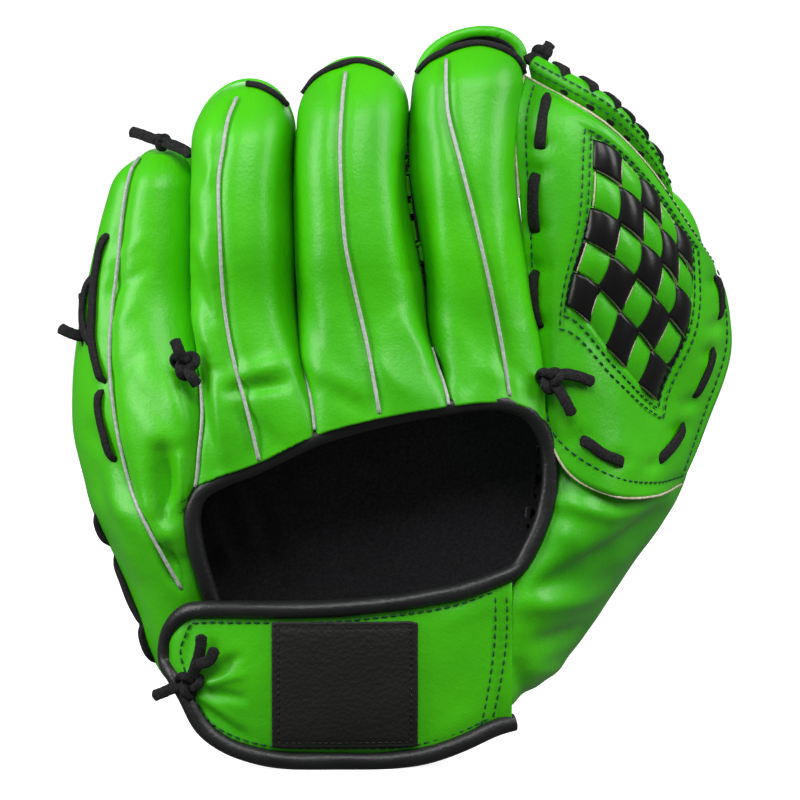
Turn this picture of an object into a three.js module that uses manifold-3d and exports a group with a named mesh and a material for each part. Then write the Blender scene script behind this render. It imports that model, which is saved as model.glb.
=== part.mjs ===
// A cricket fielding practice mitt, left hand, standing on its wrist rim with the fingers up.
// Millimetres, +Z up the fingers, +Y from the back of the hand to the palm, +X towards the thumb.
// Every leather panel is an open sheet, lofted through a short table, that is then given its wall.
import * as THREE from 'three';
import { mergeVertices } from 'three/addons/utils/BufferGeometryUtils.js';
import Module from 'manifold-3d';

const wasm = await Module();
wasm.setup();

// Driving dimensions
const GAP = 0.3;              // clearance between touching pieces
const BACK_WALL = 2.6;        // leather of the finger backs
const STRAP_WALL = 3.0;       // folded leather of the wrist strap
const LINING_WALL = 1.2;      // lining cloth
const WEB_WALL = 1.3;         // one layer of web leather
const BINDING_RADIUS = 3.4;   // rolled binding of the hand opening and the strap
const BINDING_CLEAR = BINDING_RADIUS + GAP;
const PIPING_RADIUS = 0.9;
const LACE_WIDTH = 5.0;
const LACE_THICK = 1.8;
const PARTING = 0.2;          // half the crease between two stalls
const CROTCH_Z = 165;         // height at which the finger stalls part from each other
const POCKET_Z = 125;         // height at which the palm leather ends under the web
const GREEN = '#45c410';
const BLACK = '#17181a';
const SILVER = '#b9bcbb';

// Rows with named columns, read as smooth functions of the first column
function table(names, rows) {
  const at = rows.map((row) => row[0]);
  const made = { from: at[0], to: at.at(-1) };
  names.slice(1).forEach((name, k) => {
    const values = rows.map((row) => row[k + 1]);
    const slope = (i) => {
      const a = Math.max(0, i - 1);
      const b = Math.min(rows.length - 1, i + 1);
      return (values[b] - values[a]) / (at[b] - at[a]);
    };
    made[name] = (s) => {
      const p = THREE.MathUtils.clamp(s, at[0], at.at(-1));
      const i = Math.max(0, at.findLastIndex((x, n) => x <= p && n < at.length - 1));
      const h = at[i + 1] - at[i];
      const t = (p - at[i]) / h;
      return (2 * t ** 3 - 3 * t ** 2 + 1) * values[i] + (t ** 3 - 2 * t ** 2 + t) * slope(i) * h
        + (3 * t ** 2 - 2 * t ** 3) * values[i + 1] + (t ** 3 - t ** 2) * slope(i + 1) * h;
    };
  });
  return made;
}

// Seams between the stalls, from the heel to the tips: x, depth on the back, depth on the palm side
const SEAM = ['z', 'x', 'back', 'palm'];
const SEAMS = {
  outer: table(SEAM, [
    [0, -70, 51, 51], [40, -92, 61, 61], [56, -96.5, 63, 63], [74, -103.5, 65, 65], [97, -117.5, 67, 67],
    [121, -125, 66, 66], [144, -125.5, 64, 64], [172, -123, 62, 62], [207, -115.5, 62, 62],
    [236, -106, 64, 64], [256, -99, 66, 66]]),
  pinky_ring: table(SEAM, [
    [0, -66, 14, 72], [30, -70, 12.5, 70], [60, -77.8, 9.5, 64], [84, -84, 5, 57], [98, -85.6, 4.5, 53],
    [109, -80.5, 4, 51], [125, -78.5, 4.5, 49], [140, -77.5, 8, 47], [165, -80, 24, 40], [185, -82, 35, 35],
    [222, -82, 38, 38], [256, -81.5, 44, 44], [280, -80, 48, 48]]),
  ring_middle: table(SEAM, [
    [0, -24, -4, 80], [40, -26, -4, 67], [74, -28, -4, 55], [109, -31, -3, 48],
    [140, -34, 0, 45], [165, -39, 16, 38], [185, -41, 30, 30], [234, -42, 34, 34],
    [262, -40, 42, 42], [288, -39, 46, 46]]),
  middle_index: table(SEAM, [
    [0, 0, -4, 82], [40, 8, -4, 66], [74, 13, -4, 53], [109, 17, -5, 46],
    [142, 19, -4, 43], [166, 12, 14, 36], [185, 10, 28, 28], [211, 6, 30, 30],
    [240, 3, 33, 33], [268, 5, 41, 41], [296, 9, 46, 46]]),
  index_side: table(SEAM, [
    [0, 14, 2, 78], [14, 26, 2, 74], [40, 38, 2, 66], [74, 48, 4, 54], [109, 56, 8, 45],
    [136, 57, 10, 40], [166, 55, 22, 34], [186, 52, 28, 28], [207, 49, 29, 29],
    [234, 46, 33, 33], [269, 49.5, 43, 43], [284, 55, 46, 46], [296, 59, 48, 48]]),
  thumb_inner: table(SEAM, [
    [0, 25, 3, 74], [14, 36.5, 3, 73], [40, 40, 2, 71], [70, 44, 2, 66], [78, 49.5, 3.5, 65],
    [86, 55.6, 5, 63], [97, 60.8, 7.5, 62], [112, 63.2, 10, 61], [124, 72, 19, 62], [136, 90, 38, 66], [148, 106, 62, 66],
    [160, 112.6, 69, 71], [172, 117, 76, 76], [207, 112, 80, 80], [240, 104, 86, 86]]),
  thumb_outer: table(SEAM, [
    [0, 27, 58, 58], [14, 46, 71, 71], [32, 61, 85, 85], [54, 80, 97, 97], [74, 95, 107, 107],
    [109, 112, 118, 118], [136, 115, 121, 121], [172, 113, 122, 122], [207, 108, 119, 119],
    [240, 102, 112, 112]]),
};
// The palm side of the thumb's inner seam runs across the palm before it joins the back side
const PALM_THUMB = table(['z', 'x'], [
  [0, 22], [14, 36], [40, 56], [74, 76], [109, 96], [125, 104], [148, 110], [160, 114], [172, 117], [207, 112], [240, 104]]);

// Stalls: how far the leather stands out from the plane of its two seams, on the back and on the palm
const FULL = ['z', 'back', 'palm'];
const STALLS = {
  pinky: { left: 'outer', right: 'pinky_ring', back: 242, palm: 243, curl: 17, full: table(FULL, [
    [0, 8, 4], [40, 17, 5], [109, 17, 6], [140, 20, 7], [172, 22, 12], [207, 20, 14], [256, 18, 13]]) },
  ring: { left: 'pinky_ring', right: 'ring_middle', back: 268, palm: 269, curl: 24, full: table(FULL, [
    [0, 3, 3], [109, 4, 2], [140, 7, 4], [165, 18, 10], [190, 28, 14], [222, 28, 15], [280, 22, 14]]) },
  middle: { left: 'ring_middle', right: 'middle_index', back: 277, palm: 278, curl: 24, full: table(FULL, [
    [0, 3, 3], [109, 4, 2], [142, 7, 4], [165, 19, 10], [190, 30, 14], [222, 30, 15], [290, 24, 14]]) },
  index: { left: 'middle_index', right: 'index_side', back: 284, palm: 290, curl: 19, full: table(FULL, [
    [0, 3, 3], [109, 4, 2], [142, 6, 3], [165, 15, 9], [190, 25, 14], [222, 27, 15], [296, 22, 14]]) },
  corner: { left: 'index_side', right: 'thumb_inner', palm: POCKET_Z, curl: 0, full: table(FULL, [
    [0, 0, 1], [60, 0, -1], [109, 0, -3], [125, 0, -3]]) },
  thumb: { left: 'thumb_inner', right: 'thumb_outer', back: 226, palm: 231, curl: 22, full: table(FULL, [
    [0, 2, 2], [14, 5, 3], [40, 15, 6], [74, 21, 11], [100, 23, 14.5], [112, 21, 16], [124, 15, 17], [136, 12, 17],
    [150, 12, 16], [172, 15, 17], [207, 14, 15], [240, 12, 12]]) },
};
// Padding of the palm leather, thickest at the heel
const PALM_WALL = table(['z', 'wall'], [[0, 6.5], [30, 7], [60, 6.5], [100, 5], [165, 4], [220, 3], [300, 3]]);

// Rim of the hand opening: up the pinky side, over the knuckles and down the thumb side
const RIM = [
  [-62, 12, 18], [-66, 11.5, 36], [-73.5, 9.5, 62], [-79.8, 5.6, 84], [-81.3, 4.6, 98], [-78.5, 4, 107],
  [-70, 2.6, 113], [-55, 0.5, 119], [-32, -1.5, 130], [-9, -3, 137], [19, -2.5, 142], [38, 0, 143.5],
  [50, 6, 139], [57.5, 10, 127], [59, 9.5, 112], [56.5, 8, 98], [51.5, 5.5, 86], [45.5, 4, 79]];
const RIM_FOLD_Z = 95;        // the opening's upper edge lies above this height
// Wrist strap, from its tied end to its seam on the thumb side: depth, lower and upper edge
const STRAP = table(['x', 'y', 'low', 'high'], [
  [-92, 9, 40, 48], [-89, 4, 35, 55.5], [-84, 0.5, 27.5, 60.5], [-76, -3, 14.5, 62.2], [-65, -6, 7.8, 62.6],
  [-51, -8, 4.2, 62.8], [-38, -8.5, 3.4, 63], [-18, -8.5, 3.4, 64], [2, -6.5, 3.6, 66], [22, -3, 8.4, 69],
  [38, 1.5, 15, 74]]);
const PATCH = { left: -50, right: 7, low: 8, high: 58, thick: 1.4 };

// Web net, rows from its lower to its upper edge, each from the index finger to the thumb: x, y, z
const WEB_NET = [
  [[58.5, 9, 127.5], [67, 7, 114], [83, 11, 105.5], [101, 31, 103], [114, 60, 105]],
  [[51.5, 20, 176], [66, 12, 180], [85, 19, 159], [101.5, 38, 141.5], [127, 76, 131]],
  [[48, 22, 214], [74.5, 12, 212], [98.5, 24, 194], [115, 45, 173], [136, 86, 158]],
  [[45.5, 27, 254], [77, 18, 245], [98, 29, 226], [116, 50, 202], [133, 84, 183]],
  [[49.5, 37, 270], [78.5, 22, 253], [97, 33, 235.5], [115, 54, 211], [129, 80, 191]],
];
const WEB_HEIGHT = 150;       // length of the web along v, for the edge beyond its net
// The woven window: its place in the web's u and v, and its five rails and five bands
const WEAVE = { from: 0.25, to: 0.75, count: 5, slit: 0.027, lift: 0.96, tuck: 0.045 };
const ROLL_RADIUS = 3.6;

const steps = (from, to, n) => Array.from({ length: n + 1 }, (_, i) => from + ((to - from) * i) / n);
const vec = (x, y, z) => new THREE.Vector3(x, y, z);
const curve = (rows) => new THREE.CatmullRomCurve3(rows.map((row) => vec(...row)));
const keyOf = (p) => p.toArray().map((c) => Math.round(c * 50)).join();

// An open sheet over a net of points, its outer face where (along u) x (along v) points.
// keep(i, j) says which squares are there, inward(u, v) which way the wall goes at an open edge.
function sheet(us, vs, point, { flip = false, keep = () => true, inward = null } = {}) {
  const corners = [];
  const pins = new Map();
  const net = vs.map((v) => us.map((u) => point(u, v)));
  if (inward) {
    vs.forEach((v, j) => [0, us.length - 1].forEach((i) => pins.set(keyOf(net[j][i]), inward(us[i], v))));
  }
  for (let j = 0; j + 1 < vs.length; j += 1) {
    for (let i = 0; i + 1 < us.length; i += 1) {
      const [a, b, c, d] = [net[j][i], net[j][i + 1], net[j + 1][i + 1], net[j + 1][i]];
      const faces = flip ? [[a, c, b], [a, d, c]] : [[a, b, c], [a, c, d]];
      if (keep(i, j)) faces.flat().forEach((p) => corners.push(p.x, p.y, p.z));
    }
  }
  return { corners, pins };
}

function indexed(points, faces) {
  const made = new THREE.BufferGeometry();
  made.setAttribute('position', new THREE.Float32BufferAttribute(points.flatMap((p) => [p.x, p.y, p.z]), 3));
  made.setIndex(faces);
  return made;
}

// Joins sheets into one skin and gives it a wall between two depths under its outer face
function leather(sheets, wall, { depth = () => 0, grow = 0, within = null } = {}) {
  const loose = new THREE.BufferGeometry();
  loose.setAttribute('position', new THREE.Float32BufferAttribute(sheets.flatMap((s) => s.corners), 3));
  const skin = mergeVertices(loose, 0.02);
  const vertex = (k) => new THREE.Vector3().fromBufferAttribute(skin.attributes.position, k);
  const whole = [];
  for (let i = 0; i < skin.index.count; i += 3) {
    const [a, b, c] = [0, 1, 2].map((k) => skin.index.getX(i + k));
    if (a !== b && b !== c && c !== a) whole.push([a, b, c]);
  }
  skin.setIndex(whole.flat());
  skin.computeVertexNormals();
  const isKept = ([a, b, c]) => !within || within(vertex(a).add(vertex(b)).add(vertex(c)).divideScalar(3));
  const faces = whole.filter(isKept).flat();
  const edges = new Map();
  for (let i = 0; i < faces.length; i += 3) {
    [[0, 1], [1, 2], [2, 0]].forEach(([s, t]) => {
      const [a, b] = [faces[i + s], faces[i + t]];
      if (!edges.delete(`${b} ${a}`)) edges.set(`${a} ${b}`, [a, b]);
    });
  }
  const open = new Map();
  edges.forEach(([a, b]) => {
    const [p, q] = [vertex(a), vertex(b)];
    const out = new THREE.Vector3().fromBufferAttribute(skin.attributes.normal, a);
    const beyond = q.sub(p).cross(out).normalize();
    [a, b].forEach((k) => open.set(k, (open.get(k) ?? vec(0, 0, 0)).add(beyond)));
  });
  const pinned = sheets.flatMap((s) => [...s.pins]);
  const isShared = (key) => pinned.filter(([other]) => other === key).length > 1;
  const pins = new Map(pinned.filter(([key]) => !isShared(key)));
  const count = skin.attributes.position.count;
  const outer = [];
  const inner = [];
  for (let k = 0; k < count; k += 1) {
    const p = vertex(k);
    const out = new THREE.Vector3().fromBufferAttribute(skin.attributes.normal, k);
    const pin = open.has(k) && pins.get(keyOf(p));
    const inward = pin || out.negate();
    const beyond = open.has(k) ? open.get(k).normalize().multiplyScalar(grow) : vec(0, 0, 0);
    const a = p.clone().addScaledVector(inward, depth(p) - grow).add(beyond);
    const thick = pin ? Math.min(wall(p), BACK_WALL) : wall(p);
    const b = p.clone().addScaledVector(inward, depth(p) + thick + grow).add(beyond);
    if (p.z === 0) {
      a.z = -grow;
      b.z = -grow;
    }
    outer.push(a);
    inner.push(b);
  }
  const tris = [...faces];
  for (let i = 0; i < faces.length; i += 3) {
    tris.push(faces[i + 2] + count, faces[i + 1] + count, faces[i] + count);
  }
  edges.forEach(([a, b]) => tris.push(b, a, a + count, b, a + count, b + count));
  return indexed([...outer, ...inner], tris);
}

// A closed bar of one section along a line; faces holds the outward direction at each of its points
function bar(points, faces, section) {
  const ring = section.length;
  const last = points.length - 1;
  const all = points.flatMap((p, i) => {
    const t = points[Math.min(last, i + 1)].clone().sub(points[Math.max(0, i - 1)]).normalize();
    const up = faces[i].clone().addScaledVector(t, -faces[i].dot(t)).normalize();
    const side = new THREE.Vector3().crossVectors(t, up);
    return section.map(([s, h]) => p.clone().addScaledVector(side, s).addScaledVector(up, h));
  });
  const tris = [];
  for (let i = 0; i < last; i += 1) {
    for (let k = 0; k < ring; k += 1) {
      const [a, b] = [i * ring + k, i * ring + ((k + 1) % ring)];
      tris.push(a, b + ring, b, a, a + ring, b + ring);
    }
  }
  for (let k = 1; k + 1 < ring; k += 1) {
    tris.push(0, k, k + 1, last * ring, last * ring + k + 1, last * ring + k);
  }
  const made = indexed(all, tris);
  return solid(made).volume() < 0 ? indexed(all, tris.toReversed()) : made;
}

const tube = (radius, sides) => steps(0, 2 * Math.PI, sides).slice(0, -1)
  .map((a) => [radius * Math.cos(a), radius * Math.sin(a)]);
const flat = (width, thick) => [
  [-width / 2, -thick / 2], [width / 2, -thick / 2], [width / 2, thick / 2], [-width / 2, thick / 2]];
const LACE = flat(LACE_WIDTH, LACE_THICK);
const LACE_HOLE = flat(LACE_WIDTH + 2 * GAP, LACE_THICK + 2 * GAP);

function solid(geometry) {
  const merged = mergeVertices(geometry.clone(), 1e-3);
  return new wasm.Manifold(new wasm.Mesh({
    numProp: 3,
    vertProperties: merged.attributes.position.array,
    triVerts: new Uint32Array(merged.index.array),
  }));
}

function geometryOf(made) {
  const mesh = made.getMesh();
  const out = new THREE.BufferGeometry();
  out.setAttribute('position', new THREE.BufferAttribute(mesh.vertProperties.slice(), 3));
  out.setIndex([...mesh.triVerts]);
  return out;
}

// The geometry less its cutters, as the largest body that is left
const SLIVER = 0.04;          // edges shorter than this are merged
function trimmed(geometry, cutters) {
  const left = cutters.reduce((made, cutter) => made.subtract(solid(cutter)), solid(geometry));
  return geometryOf(left.decompose().toSorted((a, b) => b.volume() - a.volume())[0].simplify(SLIVER));
}

const joined = (list) => geometryOf(list.slice(1).reduce((made, next) => made.add(solid(next)), solid(list[0])));

const glove = new THREE.Group();
function piece(name, geometry, colour, roughness) {
  const mesh = new THREE.Mesh(geometry, new THREE.MeshStandardMaterial({ color: colour, roughness }));
  mesh.name = name;
  glove.add(mesh);
}

const seamX = (side, name, z) => (side === 'palm' && name === 'thumb_inner' ? PALM_THUMB : SEAMS[name]).x(z);
const risen = (stall, side, z) => (stall.curl
  ? THREE.MathUtils.clamp((z - stall[side] + stall.curl) / stall.curl, 0, 1) : 0);

// The plane of a stall at one height: its two seams, the way across it and the way to the palm
function stallFrame(name, side, z) {
  const stall = STALLS[name];
  const depth = (seam) => (side === 'back' ? Math.min(seam.back(z), seam.palm(z)) : seam.palm(z));
  const a = vec(seamX(side, stall.left, z), depth(SEAMS[stall.left]), z);
  const b = vec(seamX(side, stall.right, z), depth(SEAMS[stall.right]), z);
  const across = b.clone().sub(a);
  const parting = side === 'back' ? PARTING : PARTING * THREE.MathUtils.smoothstep(z, CROTCH_Z, CROTCH_Z + 12);
  const half = across.length() / 2 - parting;
  across.normalize();
  return { middle: a.add(b).multiplyScalar(0.5), across, half, palmward: vec(-across.y, across.x, 0) };
}

// A point of a stall's outer face: u runs from its left seam to its right one
function stallPoint(name, side, u, z) {
  const stall = STALLS[name];
  const { middle, across, half, palmward } = stallFrame(name, side, z);
  const close = Math.sqrt(1 - risen(stall, side, z) ** 2);
  const square = (s) => Math.sign(s) * Math.abs(s) ** 0.8;
  const out = stall.full[side](z) * close * square(Math.sin(Math.PI * u));
  return middle.addScaledVector(across, -half * close * square(Math.cos(Math.PI * u)))
    .addScaledVector(palmward, side === 'back' ? -out - 2 * PARTING : out);
}

// The wall of a stall's open edge lies in the plane of its seams, and follows the curl of the tip
function edgeInward(name, side, u, z) {
  const stall = STALLS[name];
  const { across, half } = stallFrame(name, 'back', z);
  const rise = risen(stall, side, z);
  const slope = vec(0, 0, stall.curl ? -rise / stall.curl : 0);
  return slope.addScaledVector(across, ((u < 0.5 ? 1 : -1) * Math.sqrt(1 - rise ** 2)) / half).normalize();
}

function outwardAt(point, u, v, eu, ev) {
  const du = point(u + eu, v).sub(point(u - eu, v));
  const dv = point(u, v + ev).sub(point(u, v - ev));
  return du.cross(dv).normalize();
}

// Height at which leather over a given x clears the upper edge of the opening's binding
const RIM_CLEAR = BINDING_CLEAR + 0.2;
const rimSamples = curve(RIM).getSpacedPoints(300).filter((p) => p.z > RIM_FOLD_Z);
function rimFoot(x) {
  return Math.max(...rimSamples.filter((p) => Math.abs(p.x - x) < RIM_CLEAR)
    .map((p) => p.z + Math.sqrt(RIM_CLEAR ** 2 - (p.x - x) ** 2)));
}

// Heights of the rows that every stall shares, so that the seams of back and palm are one line
const ROWS = [0, 14, 32, 54, 78, 102, POCKET_Z, 145, CROTCH_Z, 185, 205, 228];
const TIP_ROWS = [0, 0.5, 0.8, 0.95, 0.995];
const RIM_ROWS = [0, CROTCH_Z / 2, CROTCH_Z];
const NEAR_ROW = 8;
function stallRows(name, side) {
  const { [side]: top, curl } = STALLS[name];
  if (!curl) return ROWS.filter((z) => z <= top);
  return [...ROWS.filter((z) => z < top - curl - NEAR_ROW), ...TIP_ROWS.map((s) => top - curl * (1 - s))];
}

// The leather of a stall's back, from the floor or from the opening's rim up to its tip
function backLeather(name, fromRim, grow = 0) {
  const rows = stallRows(name, 'back').filter((z) => !fromRim || z > CROTCH_Z);
  const lift = (u, z) => {
    if (!fromRim || z >= CROTCH_Z) return z;
    const foot = rimFoot(stallPoint(name, 'back', u, 130).x);
    return THREE.MathUtils.lerp(foot, CROTCH_Z, z / CROTCH_Z);
  };
  const point = (u, z) => stallPoint(name, 'back', u, lift(u, z));
  const inward = (u, z) => edgeInward(name, 'back', u, lift(u, z));
  return leather([sheet(steps(0, 1, 8), fromRim ? [...RIM_ROWS, ...rows] : rows, point, { inward })],
    () => BACK_WALL, { grow });
}

// The palm leather: one skin over the palm side of every stall
function palmSheets(names, across) {
  return names.map((name) => {
    const rows = stallRows(name, 'palm');
    return sheet(steps(0, 1, across), rows, (u, z) => stallPoint(name, 'palm', u, z), {
      flip: true,
      inward: (u, z) => edgeInward(name, 'palm', u, z),
    });
  });
}

// A point of the web at u and v, raised from it by lift; v may run a little past the upper edge
const WEB_ROWS = WEB_NET.map((row) => curve(row));
function webPoint(u, v, lift = 0) {
  const flatPoint = (s, t) => {
    const column = new THREE.CatmullRomCurve3(WEB_ROWS.map((row) => row.getPoint(THREE.MathUtils.clamp(s, 0, 1))));
    const p = column.getPoint(THREE.MathUtils.clamp(t, 0, 1));
    return t > 1 ? p.addScaledVector(column.getTangent(1), (t - 1) * WEB_HEIGHT) : p;
  };
  const p = flatPoint(u, v);
  return lift ? p.addScaledVector(outwardAt(flatPoint, u, v, 0.01, 0.01), lift) : p;
}
const webOut = (u, v) => webPoint(u, v, 1).sub(webPoint(u, v));

// Lines of the weave: the two edges of each rail, or of each band
const WEAVE_STEP = (WEAVE.to - WEAVE.from - WEAVE.slit) / WEAVE.count;
const WEAVE_LINES = steps(0, WEAVE.count - 1, WEAVE.count - 1)
  .flatMap((i) => [WEAVE.from + WEAVE.slit + i * WEAVE_STEP, WEAVE.from + (i + 1) * WEAVE_STEP]);
const isOver = (rail, band) => (rail + band) % 2 === 1;

function webPanel(grow = 0) {
  const us = [0, 0.13, WEAVE.from, ...WEAVE_LINES, WEAVE.to, 0.87, 1];
  const vs = [0, 0.12, WEAVE.from, ...WEAVE_LINES, WEAVE.to, 1];
  const inWeave = (list, n) => list[n] >= WEAVE.from && list[n + 1] <= WEAVE.to;
  const isSlit = (i) => inWeave(us, i) && (i - us.indexOf(WEAVE.from)) % 2 === 0;
  const point = (u, v) => {
    const rail = WEAVE_LINES.indexOf(u);
    const band = WEAVE_LINES.indexOf(v);
    const woven = rail < 0 || band < 0 ? 0 : WEAVE.lift * (isOver(rail >> 1, band >> 1) ? 1 : -1);
    return webPoint(u, v, woven + WEB_WALL / 2);
  };
  return leather([sheet(us, vs, point, { keep: (i, j) => !(isSlit(i) && inWeave(vs, j)) })],
    () => WEB_WALL, { grow });
}

function webBand(band) {
  const { from, to, lift, tuck } = WEAVE;
  const under = -2 * lift;
  const line = [[from - tuck, under], [from, under],
    ...WEAVE_LINES.map((u, n) => [u, isOver(n >> 1, band) ? -lift : lift]), [to, under], [to + tuck, under]];
  const lifts = new Map(line);
  const vs = [WEAVE_LINES[2 * band], WEAVE_LINES[2 * band + 1]];
  return leather([sheet([...lifts.keys()], vs, (u, v) => webPoint(u, v, lifts.get(u) + WEB_WALL / 2))],
    () => WEB_WALL);
}

// The web's u and v at a given x and z
function webAt(x, z) {
  const [at, e] = [new THREE.Vector2(0.4, 0.5), 0.01];
  for (let n = 0; n < 12; n += 1) {
    const p = webPoint(at.x, at.y);
    const du = webPoint(at.x + e, at.y).sub(webPoint(at.x - e, at.y)).divideScalar(2 * e);
    const dv = webPoint(at.x, at.y + e).sub(webPoint(at.x, at.y - e)).divideScalar(2 * e);
    const det = du.x * dv.z - du.z * dv.x;
    const [dx, dz] = [x - p.x, z - p.z];
    at.add(new THREE.Vector2((dx * dv.z - dz * dv.x) / det, (dz * du.x - dx * du.z) / det).clampLength(0, 0.2));
    at.clamp(new THREE.Vector2(0.02, 0.02), new THREE.Vector2(0.98, 0.98));
  }
  return at.toArray();
}

// A lace along the web through rows of x, z and side: 1 on its outer face, -1 behind it
function webLace(rows) {
  const stand = WEB_WALL / 2 + LACE_THICK / 2 + 2 * GAP;
  const at = rows.map(([x, z, side]) => [...webAt(x, z), side]);
  const points = at.map(([u, v, side]) => webPoint(u, v, side * stand));
  const faces = at.map(([u, v]) => webOut(u, v));
  return { lace: bar(points, faces, LACE), hole: bar(points, faces, LACE_HOLE) };
}

// A line on a stall's back through rows of z and x, standing off it
function backLine(name, rows, off) {
  const place = (x, z) => {
    let [low, high] = [0.03, 0.97];
    while (high - low > 1e-3) {
      const middle = (low + high) / 2;
      if (stallPoint(name, 'back', middle, z).x < x) low = middle;
      else high = middle;
    }
    return low;
  };
  const on = (u, z) => stallPoint(name, 'back', u, z);
  const at = rows.map(([z, x]) => [place(x, z), z]);
  const faces = at.map(([u, z]) => outwardAt(on, u, z, 0.02, 1.5));
  return { points: at.map(([u, z], i) => on(u, z).addScaledVector(faces[i], off)), faces };
}

// Rolled binding of the hand opening
const rim = curve(RIM).getSpacedPoints(34);
const RIM_MIDDLE = vec(-12, 0, 90);
const rimFaces = rim.map((p) => p.clone().sub(RIM_MIDDLE));
const rimCutter = bar(rim, rimFaces, tube(BINDING_CLEAR, 7));
piece('opening_binding', bar(rim, rimFaces, tube(BINDING_RADIUS, 7)), BLACK, 0.5);

// Palm, and the finger backs; those of the ring, middle and index fingers start at the opening's rim
const palmWall = (p) => PALM_WALL.wall(p.z);
const palmSkin = palmSheets(Object.keys(STALLS), 4);
const palmCutter = leather(palmSkin, palmWall, { grow: GAP });
const palm = leather(palmSkin, palmWall);
piece('palm', palm, GREEN, 0.42);
const BACKS = { pinky: false, ring: true, middle: true, index: true, thumb: false };
const BACK_NEIGHBOURS = { pinky: [rimCutter], index: [rimCutter], thumb: [rimCutter, palmCutter, palm] };
Object.entries(BACKS).forEach(([name, fromRim]) => {
  const back = backLeather(name, fromRim);
  piece(`${name}_back`, BACK_NEIGHBOURS[name] ? trimmed(back, BACK_NEIGHBOURS[name]) : back, GREEN, 0.42);
});
const backCutters = Object.entries(BACKS).map(([name, fromRim]) => backLeather(name, fromRim, GAP));

// Black lining on the inner face of the palm, from over the strap's lower edge to above the hand opening
const LINING = { low: 14, high: 145, side: 6 };
const isLined = (p) => p.z > LINING.low && p.z < LINING.high && p.x < PALM_THUMB.x(p.z) - LINING.side;
piece('palm_lining', trimmed(leather(palmSkin, () => LINING_WALL, {
  depth: (p) => palmWall(p) + 3 * GAP,
  within: isLined,
}), [palm, ...backCutters]), BLACK, 0.9);

// Wrist strap: a band across the wrist with a rounded end, its edges held in one rolled binding
const STRAP_FLAT = 0.5;       // the binding's middle lies this far behind the strap's face
function strapSheet() {
  const right = (z) => seamX('back', 'thumb_inner', z) - 2 * GAP;
  const rows = [0, 0.08, 0.2, 0.34, 0.5, 0.66, 0.82, 1];
  const left = STRAP.from + BINDING_CLEAR + 1;
  return sheet(rows, steps(0, 1, 3), (u, v) => {
    const x = THREE.MathUtils.lerp(left, 38, u);
    const [low, high] = [STRAP.low(x) + BINDING_CLEAR, STRAP.high(x) - BINDING_CLEAR];
    const z = THREE.MathUtils.lerp(low, Math.max(high, low + 0.5), v);
    return vec(u === 1 ? right(z) : x, STRAP.y(x), z);
  });
}
const strapSkin = strapSheet();
const strap = leather([strapSkin], () => STRAP_WALL);
const strapX = [38, 26, 10, -8, -26, -44, -58, -68, -77, -84, -89];
const strapPoint = (x, edge) => vec(x, STRAP.y(x) + STRAP_FLAT, STRAP[edge](x));
const strapLine = [...strapX.map((x) => strapPoint(x, 'high')), strapPoint(STRAP.from, 'high'),
  strapPoint(STRAP.from, 'low'), ...strapX.toReversed().map((x) => strapPoint(x, 'low'))];
const strapCurve = new THREE.CatmullRomCurve3(strapLine).getSpacedPoints(38);
const strapFaces = strapCurve.map(() => vec(0, -1, 0.01));
function onFloor(geometry, floor) {
  const at = geometry.attributes.position;
  for (let k = 0; k < at.count; k += 1) at.setZ(k, Math.max(floor, at.getZ(k)));
  return geometry;
}
const strapBinding = onFloor(bar(strapCurve, strapFaces, tube(BINDING_RADIUS, 7)), 0);
const strapCutter = bar(strapCurve, strapFaces, tube(BINDING_CLEAR, 7));
piece('wrist_strap', trimmed(strap, [strapCutter, ...backCutters]), GREEN, 0.42);
piece('strap_binding', trimmed(strapBinding, [rimCutter, ...backCutters]), BLACK, 0.5);

// Bare patch sewn on the strap's face
function strapPatch() {
  const { left, right, low, high, thick } = PATCH;
  return leather([sheet(steps(left, right, 5), [low, high], (x, z) => vec(x, STRAP.y(x) - GAP - thick, z))],
    () => thick);
}
piece('strap_patch', strapPatch(), BLACK, 0.55);

// Piping along the ridge of each finger back: rows of z and x
const PIPING = {
  pinky: [[238, -104.5], [233, -107.5], [216.5, -110.5], [195, -112.5], [178, -114.5], [160, -115.5], [142, -114],
    [125, -111], [107, -106], [89, -97], [69, -86]],
  ring: [[262, -64.5], [254, -67.5], [242, -69.4], [230, -71], [210, -70.5], [183, -69], [162, -65.5], [140, -59.5],
    [121, -55]],
  middle: [[272, -21.5], [262, -22.5], [242, -23.4], [207, -21.5], [187, -17.6], [165, -12.5], [140, -8]],
  index: [[277, 18], [268, 17.9], [256, 18.7], [239, 23], [216, 28.9], [191, 34.7], [165, 40], [146, 43]],
};
const PIPING_STAND = PIPING_RADIUS + GAP;
Object.entries(PIPING).forEach(([name, rows]) => {
  const { points, faces } = backLine(name, rows, PIPING_STAND);
  piece(`${name}_piping`, trimmed(bar(points, faces, tube(PIPING_RADIUS, 5)), [rimCutter, ...backCutters]),
    SILVER, 0.5);
});

// Piping in the creases between the fingers, from the rim up to where the stalls part
const CREASE_STAND = 2.6;
const CREASES = [['pinky_ring', 110, 150], ['ring_middle', 133, 162], ['middle_index', 143, 164]];
CREASES.forEach(([name, low, high]) => {
  const seam = SEAMS[name];
  const points = steps(low, high, 5).map((z) => vec(seam.x(z), seam.back(z) - CREASE_STAND, z));
  const faces = points.map(() => vec(0, -1, 0.2));
  const cord = bar(points, faces, tube(PIPING_RADIUS, 5));
  piece(`${name}_piping`, trimmed(cord, [rimCutter, ...backCutters]), SILVER, 0.5);
});

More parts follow.
